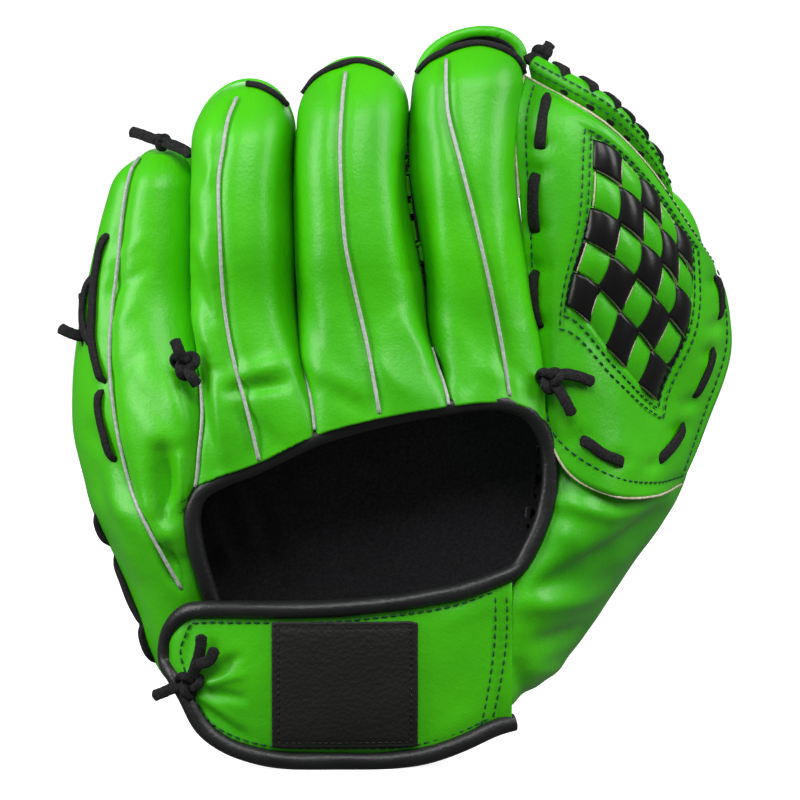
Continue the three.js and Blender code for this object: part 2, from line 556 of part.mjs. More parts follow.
// Laces that run in and out along the web: rows of x, z and side
const WEB_LACES = {
  web_lace_left: [[58.5, 262, 1], [57.5, 257, 1], [55.5, 243, 1], [55, 240, -1], [54, 233, -1], [53.5, 230, 1],
    [53.5, 211, 1], [53.5, 207, -1], [53.5, 195, -1], [53.5, 191, 1], [55, 173, 1], [55.5, 170, -1],
    [57, 164, -1]],
  web_lace_low: [[66, 131, -1], [70, 128, -1], [72.5, 127, 1], [79, 122, 1], [86, 118.5, 1], [89, 117, -1],
    [93, 115, -1]],
  web_lace_right: [[99, 113, -1], [101.5, 115.5, -1], [103.5, 118, 1], [113, 128, 1], [116, 131, -1], [118, 138, -1],
    [119, 142, 1], [126, 158, 1], [128.5, 162, -1], [131, 169, -1], [131.5, 173, 1], [131, 187, 1],
    [130.5, 190, -1]],
};
const webLaces = Object.entries(WEB_LACES).map(([name, rows]) => [name, webLace(rows)]);
const webHoles = webLaces.map(([, made]) => made.hole);
const web = trimmed(webPanel(), [...webHoles, rimCutter, ...backCutters]);
piece('web_panel', web, GREEN, 0.42);
webLaces.forEach(([name, made]) => piece(name, trimmed(made.lace, backCutters), BLACK, 0.85));
const webCutter = webPanel(GAP / 3);
steps(0, WEAVE.count - 1, WEAVE.count - 1).forEach((band) => {
  piece(`web_band_${band + 1}`, trimmed(webBand(band), [webCutter]), BLACK, 0.35);
});

// Rolled upper edge of the web, with a lace wound round it
const ROLL_OFF = ROLL_RADIUS + 5.5 * GAP + LACE_THICK;
const ROLL_SPAN = { from: 0.02, to: 0.66 };
const rollLine = new THREE.CatmullRomCurve3(steps(ROLL_SPAN.from, ROLL_SPAN.to, 10)
  .map((u) => webPoint(u, 1 + ROLL_OFF / WEB_HEIGHT)));
const rollPoints = rollLine.getSpacedPoints(18);
const rollU = (s) => THREE.MathUtils.lerp(ROLL_SPAN.from, ROLL_SPAN.to, s);
const roll = bar(rollPoints, rollPoints.map((p, i) => webOut(rollU(i / 18), 1)), tube(ROLL_RADIUS, 8));
piece('web_roll', trimmed(roll, backCutters), GREEN, 0.42);
const WRAPS = { turns: 6, from: 0.06, to: 0.9, perTurn: 8 };
function rollLace() {
  const centre = [];
  const faces = [];
  steps(0, WRAPS.turns, WRAPS.turns * WRAPS.perTurn).forEach((turn) => {
    const s = THREE.MathUtils.lerp(WRAPS.from, WRAPS.to, turn / WRAPS.turns);
    const tangent = rollLine.getTangentAt(s);
    const out = webOut(rollU(s), 1);
    out.addScaledVector(tangent, -out.dot(tangent)).normalize();
    const arm = out.applyAxisAngle(tangent, 2 * Math.PI * turn);
    faces.push(arm);
    centre.push(rollLine.getPointAt(s).addScaledVector(arm, ROLL_RADIUS + 2.5 * GAP + LACE_THICK / 2));
  });
  return bar(centre, faces, flat(4, LACE_THICK));
}
piece('web_roll_lace', rollLace(), BLACK, 0.85);

// Laces over the fingertips, between the back and the palm of a stall: rows of u and drop from the tip
const TIP_LACES = {
  ring: [[0.5, 1.5], [0.68, 2.5], [0.84, 6], [0.93, 10]],
  middle: [[0.06, 14], [0.14, 8], [0.3, 3.5], [0.5, 1.6], [0.7, 3], [0.86, 7]],
  index: [[0.06, 13], [0.13, 8], [0.28, 3.5], [0.5, 1.6], [0.72, 3.5], [0.87, 8], [0.94, 13]],
};
const TIP_STAND = LACE_THICK / 2 + GAP;
Object.entries(TIP_LACES).forEach(([name, rows]) => {
  const on = (u, z) => stallPoint(name, 'back', u, z);
  const at = rows.map(([u, drop]) => [u, STALLS[name].back - drop]);
  const faces = at.map(([u, z]) => outwardAt(on, u, z, 0.03, 0.4));
  const points = at.map(([u, z], i) => on(u, z).addScaledVector(faces[i], TIP_STAND));
  piece(`${name}_tip_lace`, trimmed(bar(points, faces, flat(4, LACE_THICK)), backCutters), BLACK, 0.85);
});

// A lace laid over a stall's back, in and out of it, through rows of u and z
function backLace(name, rows, section = flat(4, LACE_THICK)) {
  const on = (u, z) => stallPoint(name, 'back', u, z);
  const faces = rows.map(([u, z]) => outwardAt(on, u, z, 0.03, 2));
  return bar(rows.map(([u, z], i) => on(u, z).addScaledVector(faces[i], TIP_STAND)), faces, section);
}
const PINKY_LACE = [[0.45, 206], [0.4, 193], [0.36, 179], [0.36, 163], [0.4, 150], [0.42, 140], [0.42, 129],
  [0.45, 121]];
const HEEL_LACE = [[0.28, 97], [0.29, 88], [0.3, 78], [0.31, 68], [0.32, 58], [0.33, 48]];

piece('heel_lace', trimmed(backLace('pinky', HEEL_LACE), backCutters), BLACK, 0.85);

// Knots: a ball of lace with its tails, each a row of points in x, y and z
const ball = (at, radius) => mergeVertices(
  new THREE.SphereGeometry(radius, 7, 5).deleteAttribute('normal').deleteAttribute('uv').translate(...at), 1e-3);
function knot(at, radius, tails) {
  const ends = tails.map((tail) => {
    const points = [at, ...tail].map((p) => vec(...p));
    return bar(points, points.map(() => vec(0.02, -1, 0.05)), flat(4.5, LACE_THICK));
  });
  return joined([ball(at, radius), ...ends]);
}
const KNOTS = {
  strap_knot: [[-83, -2.5, 33], 4.2, [[[-80, -3.8, 40], [-77.5, -4.5, 51]], [[-90, 0, 31], [-97, 5, 28]],
    [[-79, -5.8, 40], [-72.5, -6.4, 46]]]],
  web_knot: [[58.5, 5, 152], 4, [[[67, 6.5, 153], [76, 9.5, 150.5]], [[64, 4.5, 146], [67.5, 4, 138]]]],
  crease_knot: [[-82.5, 7, 158], 5, [[[-86, 2, 164], [-88, 2.5, 169]]]],
  pinky_knot: [[-126, 41, 166], 3.6, [[[-131, 38, 167], [-136, 39, 170]], [[-128, 44, 174], [-127.5, 44, 182]]]],
  pinky_ring_lace: [[-95, 44, 244.5], 2.6, [[[-101, 46, 246.5], [-108, 48, 248]], [[-89, 40, 243], [-83.5, 33, 239.5]]]],
};
const near = [palmCutter, rimCutter, strapCutter, leather([strapSkin], () => STRAP_WALL, { grow: GAP }), webPanel(GAP),
  ...backCutters];
piece('pinky_lace', trimmed(backLace('pinky', PINKY_LACE), backCutters), BLACK, 0.85);
near.push(backLace('pinky', PINKY_LACE, LACE_HOLE));
Object.entries(KNOTS).forEach(([name, made]) => piece(name, trimmed(knot(...made), near), BLACK, 0.85));

// The part's origin is the middle of its foot print
const FOOTPRINT_MIDDLE = { x: 0, y: 55.3 };
glove.position.set(-FOOTPRINT_MIDDLE.x, -FOOTPRINT_MIDDLE.y, 0);

export default glove;
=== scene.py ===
# %% [markdown]
# # A left-hand fielding mitt
# The mitt stands on the rim of its wrist hole with its fingers up, and its back faces the camera.
# Everything is made of soft sheets: each leather panel is a grid whose vertices are moved onto a
# surface that a short table describes, so the same few tables give the shape, its folds and its seams.

# %% Load the frame
import bisect
import functools
import math
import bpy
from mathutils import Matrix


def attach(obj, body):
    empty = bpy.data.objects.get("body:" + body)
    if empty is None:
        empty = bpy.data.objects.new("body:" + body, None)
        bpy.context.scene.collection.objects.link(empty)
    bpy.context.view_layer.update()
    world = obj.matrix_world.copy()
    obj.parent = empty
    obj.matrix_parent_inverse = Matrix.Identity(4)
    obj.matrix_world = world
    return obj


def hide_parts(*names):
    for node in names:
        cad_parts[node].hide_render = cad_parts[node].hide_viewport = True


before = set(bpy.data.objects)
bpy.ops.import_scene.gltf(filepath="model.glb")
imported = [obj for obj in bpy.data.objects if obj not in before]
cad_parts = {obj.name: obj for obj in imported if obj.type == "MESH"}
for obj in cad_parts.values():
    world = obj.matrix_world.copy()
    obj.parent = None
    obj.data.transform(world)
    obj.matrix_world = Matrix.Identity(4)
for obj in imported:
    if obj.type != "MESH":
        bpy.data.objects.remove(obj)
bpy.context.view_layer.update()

from types import SimpleNamespace

import bmesh
import bpy
from mathutils import Matrix, Vector, noise

print("solids in the frame:", len(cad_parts))

# %% [markdown]
# ## Sizes
# Lengths are in millimetres until a mesh is finished, because leather is cut in millimetres.
# The mitt is drawn with its front seams near y = 0, and FOOTPRINT_Y is how far the middle of the
# footprint, which is the scene's origin, lies behind them. PARTING is the gap between the leather of
# the back and that of the palm, and TOUCHING is half the gap between two fingers that touch.

# %% Sizes
MM = 0.001
FOOTPRINT_Y = 55.3
BACK_WALL = 2.2
STRAP_WALL = 3.0
WEB_WALL = 1.3
BINDING_RADIUS = 3.5
PIPING_RADIUS = 0.75
LACE_WIDTH = 5.0
LACE_THICK = 1.9
PARTING = 0.2
TOUCHING = 0.06
CROTCH_Z = 165
POCKET_Z = 125


def vec(x, y, z):
    return Vector((x, y, z))


def mix(a, b, t):
    return a + (b - a) * t


def clamp(x, low=0.0, high=1.0):
    return max(low, min(high, x))


def smooth(x, low, high):
    """A soft step from 0 at low to 1 at high."""
    t = clamp((x - low) / (high - low))
    return t * t * (3 - 2 * t)


print(f"leather {BACK_WALL} mm, binding {2 * BINDING_RADIUS} mm, laces {LACE_WIDTH} by {LACE_THICK} mm")

# %% [markdown]
# ## Tables
# A table has a row for each height or place that was measured, and a name for each column. Each column
# is read as a smooth function of the first one. A cubic between two rows, with its slopes taken from
# the rows on either side, gives soft leather without a kink at every row.

# %% Tables
def table(names, rows):
    """Rows with named columns, read as smooth functions of the first column."""
    at = [row[0] for row in rows]

    def column(k):
        values = [row[k] for row in rows]
        slopes = []
        for i in range(len(rows)):
            a, b = max(0, i - 1), min(len(rows) - 1, i + 1)
            slopes.append((values[b] - values[a]) / (at[b] - at[a]))

        def read(s):
            p = clamp(s, at[0], at[-1])
            i = max(0, min(bisect.bisect_right(at, p) - 1, len(at) - 2))
            h = at[i + 1] - at[i]
            t = (p - at[i]) / h
            t2, t3 = t * t, t * t * t
            return ((2 * t3 - 3 * t2 + 1) * values[i] + (t3 - 2 * t2 + t) * slopes[i] * h
                    + (3 * t2 - 2 * t3) * values[i + 1] + (t3 - t2) * slopes[i + 1] * h)

        return read

    return SimpleNamespace(start=at[0], end=at[-1],
                           **{name: column(k + 1) for k, name in enumerate(names.split()[1:])})


sample = table("z x", [(0, 0), (10, 4), (20, 20)])
print("a table read between two of its rows:", round(sample.x(15), 2))

# %% [markdown]
# ## Lines
# A line is a smooth curve in space through a few points, which a seam, a lace or a roll follows.
# Points that lie close together would make the curve loop, so each stretch is weighed by the root of
# its length. Stitches and cords need even steps, so a second function walks a line at equal distances.

# %% Lines
FINE_STEPS = 400


def line(points):
    """A smooth curve through points, as a function of 0 to 1."""
    pts = [Vector(p) for p in points]
    last = len(pts) - 1

    def at(t):
        p = clamp(t) * last
        i = min(int(p), last - 1)
        w = p - i
        p1, p2 = pts[i], pts[i + 1]
        p0 = pts[i - 1] if i else p1 * 2 - p2
        p3 = pts[i + 2] if i + 2 <= last else p2 * 2 - p1
        d1 = max((p2 - p1).length ** 0.5, 1e-4)
        d0, d2 = [(q - r).length ** 0.5 or d1 for q, r in ((p1, p0), (p3, p2))]
        t1 = ((p1 - p0) / d0 - (p2 - p0) / (d0 + d1) + (p2 - p1) / d1) * d1
        t2 = ((p2 - p1) / d1 - (p3 - p1) / (d1 + d2) + (p3 - p2) / d2) * d1
        return (p1 + t1 * w + (p2 * 3 - p1 * 3 - t1 * 2 - t2) * w * w
                + (p1 * 2 - p2 * 2 + t1 + t2) * w * w * w)

    return at


def spaced(at, count, start=0.0, end=1.0):
    """Points at equal distances along a line."""
    fine = [at(mix(start, end, i / FINE_STEPS)) for i in range(FINE_STEPS + 1)]
    run = [0.0]
    for a, b in zip(fine, fine[1:]):
        run.append(run[-1] + (b - a).length)
    out = []
    for k in range(count + 1):
        s = run[-1] * k / count
        i = max(0, min(bisect.bisect_right(run, s) - 1, FINE_STEPS - 1))
        out.append(fine[i].lerp(fine[i + 1], (s - run[i]) / max(run[i + 1] - run[i], 1e-9)))
    return out


arch = line([(0, 0, 0), (10, 0, 10), (20, 0, 0)])
print("four even steps along an arch:", [tuple(round(c, 1) for c in p) for p in spaced(arch, 4)])

# %% [markdown]
# ## Seams
# Seams divide the mitt into stalls, one for each finger and a flat one between index and thumb. Each
# row gives a height, how far across the seam is there, and how deep it lies on the back and on the
# palm. Where the two depths agree, the finger stands free, and back and palm meet in one seam.

# %% Seams
SEAM = "z x back palm"
SEAMS = {
    "outer": table(SEAM, [
        (0, -70, 51, 51), (40, -92, 61, 61), (56, -96.5, 63, 63), (74, -103.5, 65, 65),
        (97, -117.5, 67, 67), (121, -125, 66, 66), (144, -125.5, 64, 64), (172, -123, 62, 62),
        (207, -115.5, 62, 62), (236, -106, 64, 64), (256, -99, 66, 66)]),
    "pinky_ring": table(SEAM, [
        (0, -66, 14, 72), (30, -70, 12.5, 70), (60, -77.8, 9.5, 64), (84, -84, 5, 57),
        (98, -85.6, 4.5, 53), (109, -80.5, 4, 51), (125, -78.5, 4.5, 49), (140, -77.5, 8, 47),
        (165, -80, 24, 40), (185, -82, 35, 35), (222, -82, 38, 38), (256, -81.5, 44, 44),
        (280, -80, 48, 48)]),
    "ring_middle": table(SEAM, [
        (0, -24, -4, 80), (40, -26, -4, 67), (74, -28, -4, 55), (109, -31, -3, 48),
        (140, -34, 0, 45), (165, -39, 16, 38), (185, -41, 30, 30), (234, -42, 34, 34),
        (262, -40, 42, 42), (288, -39, 46, 46)]),
    "middle_index": table(SEAM, [
        (0, 0, -4, 82), (40, 8, -4, 66), (74, 13, -4, 53), (109, 17, -5, 46),
        (142, 19, -4, 43), (166, 12, 14, 36), (185, 10, 28, 28), (211, 6, 30, 30),
        (240, 3, 33, 33), (268, 5, 41, 41), (296, 9, 46, 46)]),
    "index_side": table(SEAM, [
        (0, 14, 2, 78), (14, 26, 2, 74), (40, 38, 2, 66), (74, 48, 4, 54), (109, 56, 8, 45),
        (136, 57, 10, 40), (166, 55, 22, 34), (186, 52, 28, 28), (207, 49, 29, 29),
        (234, 46, 33, 33), (269, 49.5, 43, 43), (284, 55, 46, 46), (296, 59, 48, 48)]),
    "thumb_inner": table(SEAM, [
        (0, 25, 3, 74), (14, 36.5, 3, 73), (40, 40, 2, 71), (70, 44, 2, 66), (78, 49.5, 3.5, 65),
        (86, 55.6, 5, 63), (97, 60.8, 7.5, 62), (112, 63.2, 10, 61), (124, 72, 19, 62),
        (136, 90, 38, 66), (148, 106, 62, 66), (160, 112.6, 69, 71), (172, 117, 76, 76),
        (207, 112, 80, 80), (240, 104, 86, 86)]),
    "thumb_outer": table(SEAM, [
        (0, 27, 58, 58), (14, 46, 71, 71), (32, 61, 85, 85), (54, 77, 97, 97), (74, 90.5, 107, 107),
        (109, 111, 118, 118), (136, 115, 121, 121), (172, 111.5, 122, 122), (207, 104, 119, 119),
        (240, 97, 112, 112)]),
}
PALM_THUMB = table("z x", [
    (0, 22), (14, 36), (40, 56), (74, 76), (109, 96), (125, 104), (148, 110), (160, 114), (172, 117),
    (207, 112), (240, 104)])
print("seams:", ", ".join(SEAMS))

# %% [markdown]
# ## Stalls
# A stall is the leather round one finger. It has a left and a right seam, the height of its tip on the
# back and on the palm, and the length over which the tip closes. Its table says how far the leather
# bulges from its seams on each side: little in the palm, most on the back of the fingers.

# %% Stalls
FULL = "z back palm"


def stall(left, right, back, palm, curl, rows):
    """One finger's leather: its seams, its tip on the back and the palm, its curl and its fullness."""
    return SimpleNamespace(left=left, right=right, back=back, palm=palm, curl=curl, full=table(FULL, rows))


STALLS = {
    "pinky": stall("outer", "pinky_ring", 242, 243, 17, [
        (0, 8, 4), (40, 17, 5), (109, 17, 6), (140, 20, 7), (172, 22, 12), (207, 20, 14), (256, 18, 13)]),
    "ring": stall("pinky_ring", "ring_middle", 268, 269, 24, [
        (0, 3, 3), (109, 4, 2), (140, 8, 4), (165, 19, 10), (185, 28.5, 14), (222, 29, 15), (280, 22, 14)]),
    "middle": stall("ring_middle", "middle_index", 277, 278, 24, [
        (0, 3, 3), (109, 4, 2), (142, 8, 4), (165, 19, 10), (185, 29.5, 14), (222, 30.5, 15), (290, 24, 14)]),
    "index": stall("middle_index", "index_side", 284, 290, 19, [
        (0, 3, 3), (109, 4, 2), (142, 7, 3), (165, 16, 9), (185, 26, 14), (222, 27.5, 15), (296, 22, 14)]),
    "corner": stall("index_side", "thumb_inner", None, POCKET_Z, 0, [
        (0, 0, 1), (60, 0, -1), (109, 0, -3), (125, 0, -3)]),
    "thumb": stall("thumb_inner", "thumb_outer", 226, 231, 22, [
        (0, 2, 2), (14, 5, 3), (40, 15, 6), (74, 21, 11), (100, 23, 14.5), (112, 21, 16), (124, 15, 17),
        (136, 12, 17), (150, 12, 16), (172, 15, 17), (207, 14, 15), (240, 12, 12)]),
}
PALM_WALL = table("z wall", [(0, 6.5), (30, 7), (60, 6.5), (100, 5), (165, 4), (220, 3), (300, 3)])
for name, made in STALLS.items():
    print(f"{name}: from {made.left} to {made.right}")

# %% [markdown]
# ## A stall at one height
# At each height a stall's two seams give a line across the mitt, which the leather bulges from. A
# sudden bend of a seam would show as a line across the finger, so depths and bulges are averaged over
# a stretch of 20 mm. Many vertices share a height, so what was worked out for it once is kept.

# %% A stall at one height
EASE_STEPS = [2 * step for step in range(-5, 6)]


def seam_x(side, name, z):
    return (PALM_THUMB if side == "palm" and name == "thumb_inner" else SEAMS[name]).x(z)


def eased(column, z):
    """A table's column without its kinks: its mean over a short stretch."""
    return sum(column(z + step) for step in EASE_STEPS) / len(EASE_STEPS)


@functools.lru_cache(maxsize=None)
def fullness(name, side, z):
    return eased(getattr(STALLS[name].full, side), z)


@functools.lru_cache(maxsize=None)
def stall_plane(name, side, z):
    """A stall's two seams at a height: their middle, the way across, half the width, the palm's way."""
    made = STALLS[name]
    ends = []
    for seam in (made.left, made.right):
        lines = SEAMS[seam]
        depth = eased(lines.palm if side == "palm" else lambda at: min(lines.palm(at), lines.back(at)), z)
        ends.append(vec(seam_x(side, seam, z), depth, z))
    across = ends[1] - ends[0]
    parting = TOUCHING if side == "back" else TOUCHING * smooth(z, CROTCH_Z, CROTCH_Z + 12)
    half = across.length / 2 - parting
    across.normalize()
    return (ends[0] + ends[1]) / 2, across, half, vec(-across.y, across.x, 0)


print("half the middle finger's width at 200 mm:", round(stall_plane("middle", "back", 200)[2], 1), "mm")

# %% [markdown]
# ## Points of a stall
# The leather is an arch over that line, a little fuller than half a circle, and the tip closes as a
# quarter of a circle does. At the heel the rim's two corners rise a little, behind the strap.

# %% Points of a stall
ARCH_POWER = 0.8
HEEL_RISE = 11
HEEL_TOP = 32


def fuller(s):
    """A sine or cosine swollen a little, so that an arch is fuller than a circle."""
    return math.copysign(abs(s) ** ARCH_POWER, s)


def stall_point(name, side, u, z):
    """A point of a stall's outer face: u runs from its left seam to its right one."""
    made = STALLS[name]
    top = getattr(made, side)
    rise = clamp((z - top + made.curl) / made.curl) if made.curl else 0
    close = math.sqrt(max(0.0, 1 - rise ** 2))
    middle, across, half, palmward = stall_plane(name, side, z)
    out = fullness(name, side, z) * close * fuller(math.sin(math.pi * u))
    out = -out - 2 * PARTING if side == "back" else out
    return middle - across * (half * close * fuller(math.cos(math.pi * u))) + palmward * out


def heel(p):
    """Lifts a point of the heel's rim where it lies at one of the two corners."""
    corner = smooth(p.x, 4, 26) + smooth(-p.x, 54, 70)
    return p + vec(0, 0, HEEL_RISE * corner * (1 - smooth(p.z, 0, HEEL_TOP)))


def outward(point, u, v, du, dv):
    """The way out of a surface at a place on it."""
    a = point(u + du, v) - point(u - du, v)
    b = point(u, v + dv) - point(u, v - dv)
    return a.cross(b).normalized()


for side in ("back", "palm"):
    print(f"middle finger's {side} at 200 mm:", [round(c) for c in stall_point("middle", side, 0.5, 200)])

# %% [markdown]
# ## Colours and nodes
# A colour is given as a screen shows it, so it is an sRGB value, and a shader wants it linear.
# One function turns it, and one more adds a node with its settings and its links.

# %% Colours and nodes
def linear(value):
    """A hex sRGB colour as linear red, green, blue and alpha."""
    parts = [int(value[i:i + 2], 16) / 255 for i in (1, 3, 5)]
    return [c / 12.92 if c <= 0.04045 else ((c + 0.055) / 1.055) ** 2.4 for c in parts] + [1.0]


def add(tree, kind, settings=None, links=None):
    """Adds a node, sets its properties and sockets, and links other nodes' outputs to its sockets."""
    made = tree.nodes.new(kind)
    for key, value in (settings or {}).items():
        if isinstance(key, int) or key in made.inputs:
            made.inputs[key].default_value = value
        else:
            setattr(made, key, value)
    for key, source in (links or {}).items():
        tree.links.new(source, made.inputs[key])
    return made


def new_material(name, settings):
    """A material with its own principled shader, and that shader and its tree."""
    made = bpy.data.materials.new(name)
    made.use_nodes = True
    shader = made.node_tree.nodes["Principled BSDF"]
    for key, value in settings.items():
        shader.inputs[key].default_value = value
    return made, made.node_tree, shader


def two_colours(tree, factor, low, high, start=0.35, end=0.65):
    """A factor turned into a blend of two colours."""
    ramp = add(tree, "ShaderNodeValToRGB", links={"Fac": factor})
    for element, at, colour in zip(ramp.color_ramp.elements, (start, end), (low, high)):
        element.position, element.color = at, linear(colour)
    return ramp.outputs["Color"]


print("middle grey on a screen is", round(linear("#808080")[0], 3), "to a shader")

# %% [markdown]
# ## Leather
# The mitt is cut from synthetic leather: a polyurethane skin with a fine pebble grain on a cloth back.
# It is smooth to the eye, so the grain is shallow, and broad soft highlights do most of the work.
# The real grain is about 0.6 mm, which is finer than a pixel here, so it is drawn at 1.2 mm. Under it
# lie soft crumples 9 mm wide, and the dye is a little deeper in patches 60 mm wide.

# %% Leather
GRAIN = 1.2
CRUMPLE = 9.0
TONE = 60.0


def leather(name, colour, deep, settings, grain=GRAIN, depth=0.18, crumple=0.42):
    """Synthetic leather with grain and crumples of a given strength, from a colour to a deeper one."""
    made, tree, shader = new_material(name, {"IOR": 1.5, **settings})
    place = add(tree, "ShaderNodeTexCoord").outputs["Object"]
    tone = add(tree, "ShaderNodeTexNoise", {"Scale": 1 / (TONE * MM), "Detail": 2.0}, {"Vector": place})
    tree.links.new(two_colours(tree, tone.outputs["Fac"], deep, colour), shader.inputs["Base Color"])
    pebble = add(tree, "ShaderNodeTexVoronoi", {"Scale": 1 / (grain * MM)}, {"Vector": place})
    soft = add(tree, "ShaderNodeTexNoise", {"Scale": 1 / (CRUMPLE * MM), "Detail": 3.0}, {"Vector": place})
    first = add(tree, "ShaderNodeBump", {"Strength": depth, "Distance": 0.3 * MM},
                {"Height": pebble.outputs["Distance"]})
    second = add(tree, "ShaderNodeBump", {"Strength": crumple, "Distance": 0.8 * MM},
                 {"Height": soft.outputs["Fac"], "Normal": first.outputs["Normal"]})
    tree.links.new(second.outputs["Normal"], shader.inputs["Normal"])
    return made


# Satin green with a thin clear finish, which softens its highlights.
GREEN_LEATHER = leather("green_pu_leather", "#4acb00", "#3ab400", {
    "Roughness": 0.40, "Specular IOR Level": 0.42, "Coat Weight": 0.06, "Coat Roughness": 0.3})
# The binding is stretched over a cord, so it shines along its length and is crumpled across.
BLACK_ROLL = leather("black_pu_rolled", "#1e201f", "#151716", {"Roughness": 0.42}, depth=0.25, crumple=0.5)
# The woven bands are the glossiest leather, nearly without grain.
BLACK_BAND = leather("black_pu_band", "#0f100f", "#0a0b0a", {
    "Roughness": 0.32, "Specular IOR Level": 0.4}, depth=0.05, crumple=0.15)
# The patch is embossed with a coarser grain and is dull.
BLACK_PATCH = leather("black_embossed_pu", "#1c1d1a", "#151613", {
    "Roughness": 0.55, "Specular IOR Level": 0.35}, grain=1.6, depth=0.6, crumple=0.2)
print("leathers:", ", ".join(made.name for made in (GREEN_LEATHER, BLACK_ROLL, BLACK_BAND, BLACK_PATCH)))

# %% [markdown]
# ## Cut edges, lining, lace, piping and thread
# A cut edge of synthetic leather shows its pale cloth back. The lining is a brushed black cloth, so it
# is dull with a faint sheen. Laces are matt black strips with a rough nap, the piping is silver vinyl,
# and the sewing thread is a dark green polyester that is glossier than the leather round it. Each is
# one noise, as fine as its fibres, which sets both the colour and the bump.

# %% Cut edges, lining, lace, piping and thread
def fibrous(name, colour, deep, settings, size, depth):
    """A cloth, nap or thread whose fibres are size millimetres wide and stand up by a strength."""
    made, tree, shader = new_material(name, settings)
    place = add(tree, "ShaderNodeTexCoord").outputs["Object"]
    fibres = add(tree, "ShaderNodeTexNoise", {"Scale": 1 / (size * MM)}, {"Vector": place}).outputs["Fac"]
    tree.links.new(two_colours(tree, fibres, deep, colour, 0.3, 0.7), shader.inputs["Base Color"])
    bump = add(tree, "ShaderNodeBump", {"Strength": depth, "Distance": 0.4 * MM}, {"Height": fibres})
    tree.links.new(bump.outputs["Normal"], shader.inputs["Normal"])
    return made


CUT_EDGE = fibrous("pale_cloth_back", "#e6dcc8", "#b9a98c", {"Roughness": 0.9}, 1.5, 0.5)
LINING = fibrous("black_brushed_lining", "#34343a", "#19191c", {
    "Roughness": 0.95, "Sheen Weight": 0.35, "Sheen Roughness": 0.5}, 1.1, 0.8)
LACE = fibrous("black_napped_lace", "#282829", "#0a0a0b", {
    "Roughness": 0.85, "Specular IOR Level": 0.3}, 0.9, 0.9)
SILVER = fibrous("silver_vinyl_piping", "#c3c6c4", "#a3a7a5", {"Roughness": 0.42}, 1.4, 0.4)
THREAD = fibrous("dark_green_thread", "#0a5a38", "#063a22", {"Roughness": 0.45}, 0.5, 0.5)
BLACK_THREAD = fibrous("black_thread", "#0c0c0d", "#050505", {"Roughness": 0.5}, 0.5, 0.5)
print("materials:", len(bpy.data.materials))

# %% [markdown]
# ## From a grid to a surface
# A leather panel starts as a flat grid. Each vertex knows how far across and how far up it lies, and
# is moved to that place on the real surface. The grid's own places are kept as its UV map.

# %% From a grid to a surface
def shaded_smooth(bm):
    for face in bm.faces:
        face.smooth = True
    return bm


def grid(columns, rows, point):
    """A grid whose vertices are moved to point(u, v), with u across and v up, both from 0 to 1."""
    bm = bmesh.new()
    bmesh.ops.create_grid(bm, x_segments=columns, y_segments=rows, size=0.5)
    sheet_uv = bm.loops.layers.uv.new("UVMap")
    for face in bm.faces:
        for loop in face.loops:
            loop[sheet_uv].uv = (loop.vert.co.x + 0.5, loop.vert.co.y + 0.5)
    for vert in bm.verts:
        vert.co = point(vert.co.x + 0.5, vert.co.y + 0.5)
    return shaded_smooth(bm)


def merged(parts):
    """One mesh from several."""
    whole = bmesh.new()
    for part in parts:
        held = bpy.data.meshes.new("part")
        part.to_mesh(held)
        part.free()
        whole.from_mesh(held)
        bpy.data.meshes.remove(held)
    return whole


swatch = grid(4, 4, lambda u, v: vec(10 * u, 0, 10 * v))
area = sum(face.calc_area() for face in swatch.faces)
print("a swatch of", len(swatch.faces), "squares:", round(area), "mm2")
swatch.free()

# %% [markdown]
# ## From a surface to a piece
# A finished surface becomes an object in metres at the scene's origin. It rides on the mitt, and it may
# stand for solids of the frame. A Solidify modifier gives a panel its wall on the inner side, and the
# rim and the inside of the wall may get finishes of their own, such as the lining or a pale cut edge.

# %% From a surface to a piece
def new_object(name, bm, materials, move=(0, 0, 0)):
    """An object in metres from a mesh in millimetres, which is moved first."""
    bmesh.ops.transform(bm, matrix=Matrix.Scale(MM, 4) @ Matrix.Translation(move), verts=bm.verts)
    mesh = bpy.data.meshes.new(name)
    bm.to_mesh(mesh)
    bm.free()
    for made in materials:
        mesh.materials.append(made)
    made_object = bpy.data.objects.new(name, mesh)
    bpy.context.collection.objects.link(made_object)
    return made_object


def finish_piece(name, bm, materials, nodes, wall=0, inside=0, rim=0):
    """A piece of the mitt from a mesh, with a wall in millimetres if it is a panel."""
    piece = new_object(name, bm, materials, (0, -FOOTPRINT_Y, 0))
    if wall:
        solid = piece.modifiers.new("Wall", "SOLIDIFY")
        solid.thickness = wall * MM
        solid.offset = -1
        solid.material_offset = inside
        solid.material_offset_rim = rim
        solid.use_even_offset = False
    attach(piece, "root")
    if nodes:
        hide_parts(*nodes)
    print(f"{name}: {len(piece.data.polygons)} faces")
    return piece


print("a piece's place in the scene is its place in the mitt, moved by", -FOOTPRINT_Y, "mm")


# %% [markdown]
# ## Folds
# Leather that is bent creases along lines. A fold has two ends, a width and a depth, seen from the back
# of the mitt: a negative depth is a valley. Its sides rise a little, as pushed leather does, and it
# dies out towards its ends. Where there is no fold, a broad noise keeps the leather from looking cast.

# %% Folds
FOLD_REACH = 4


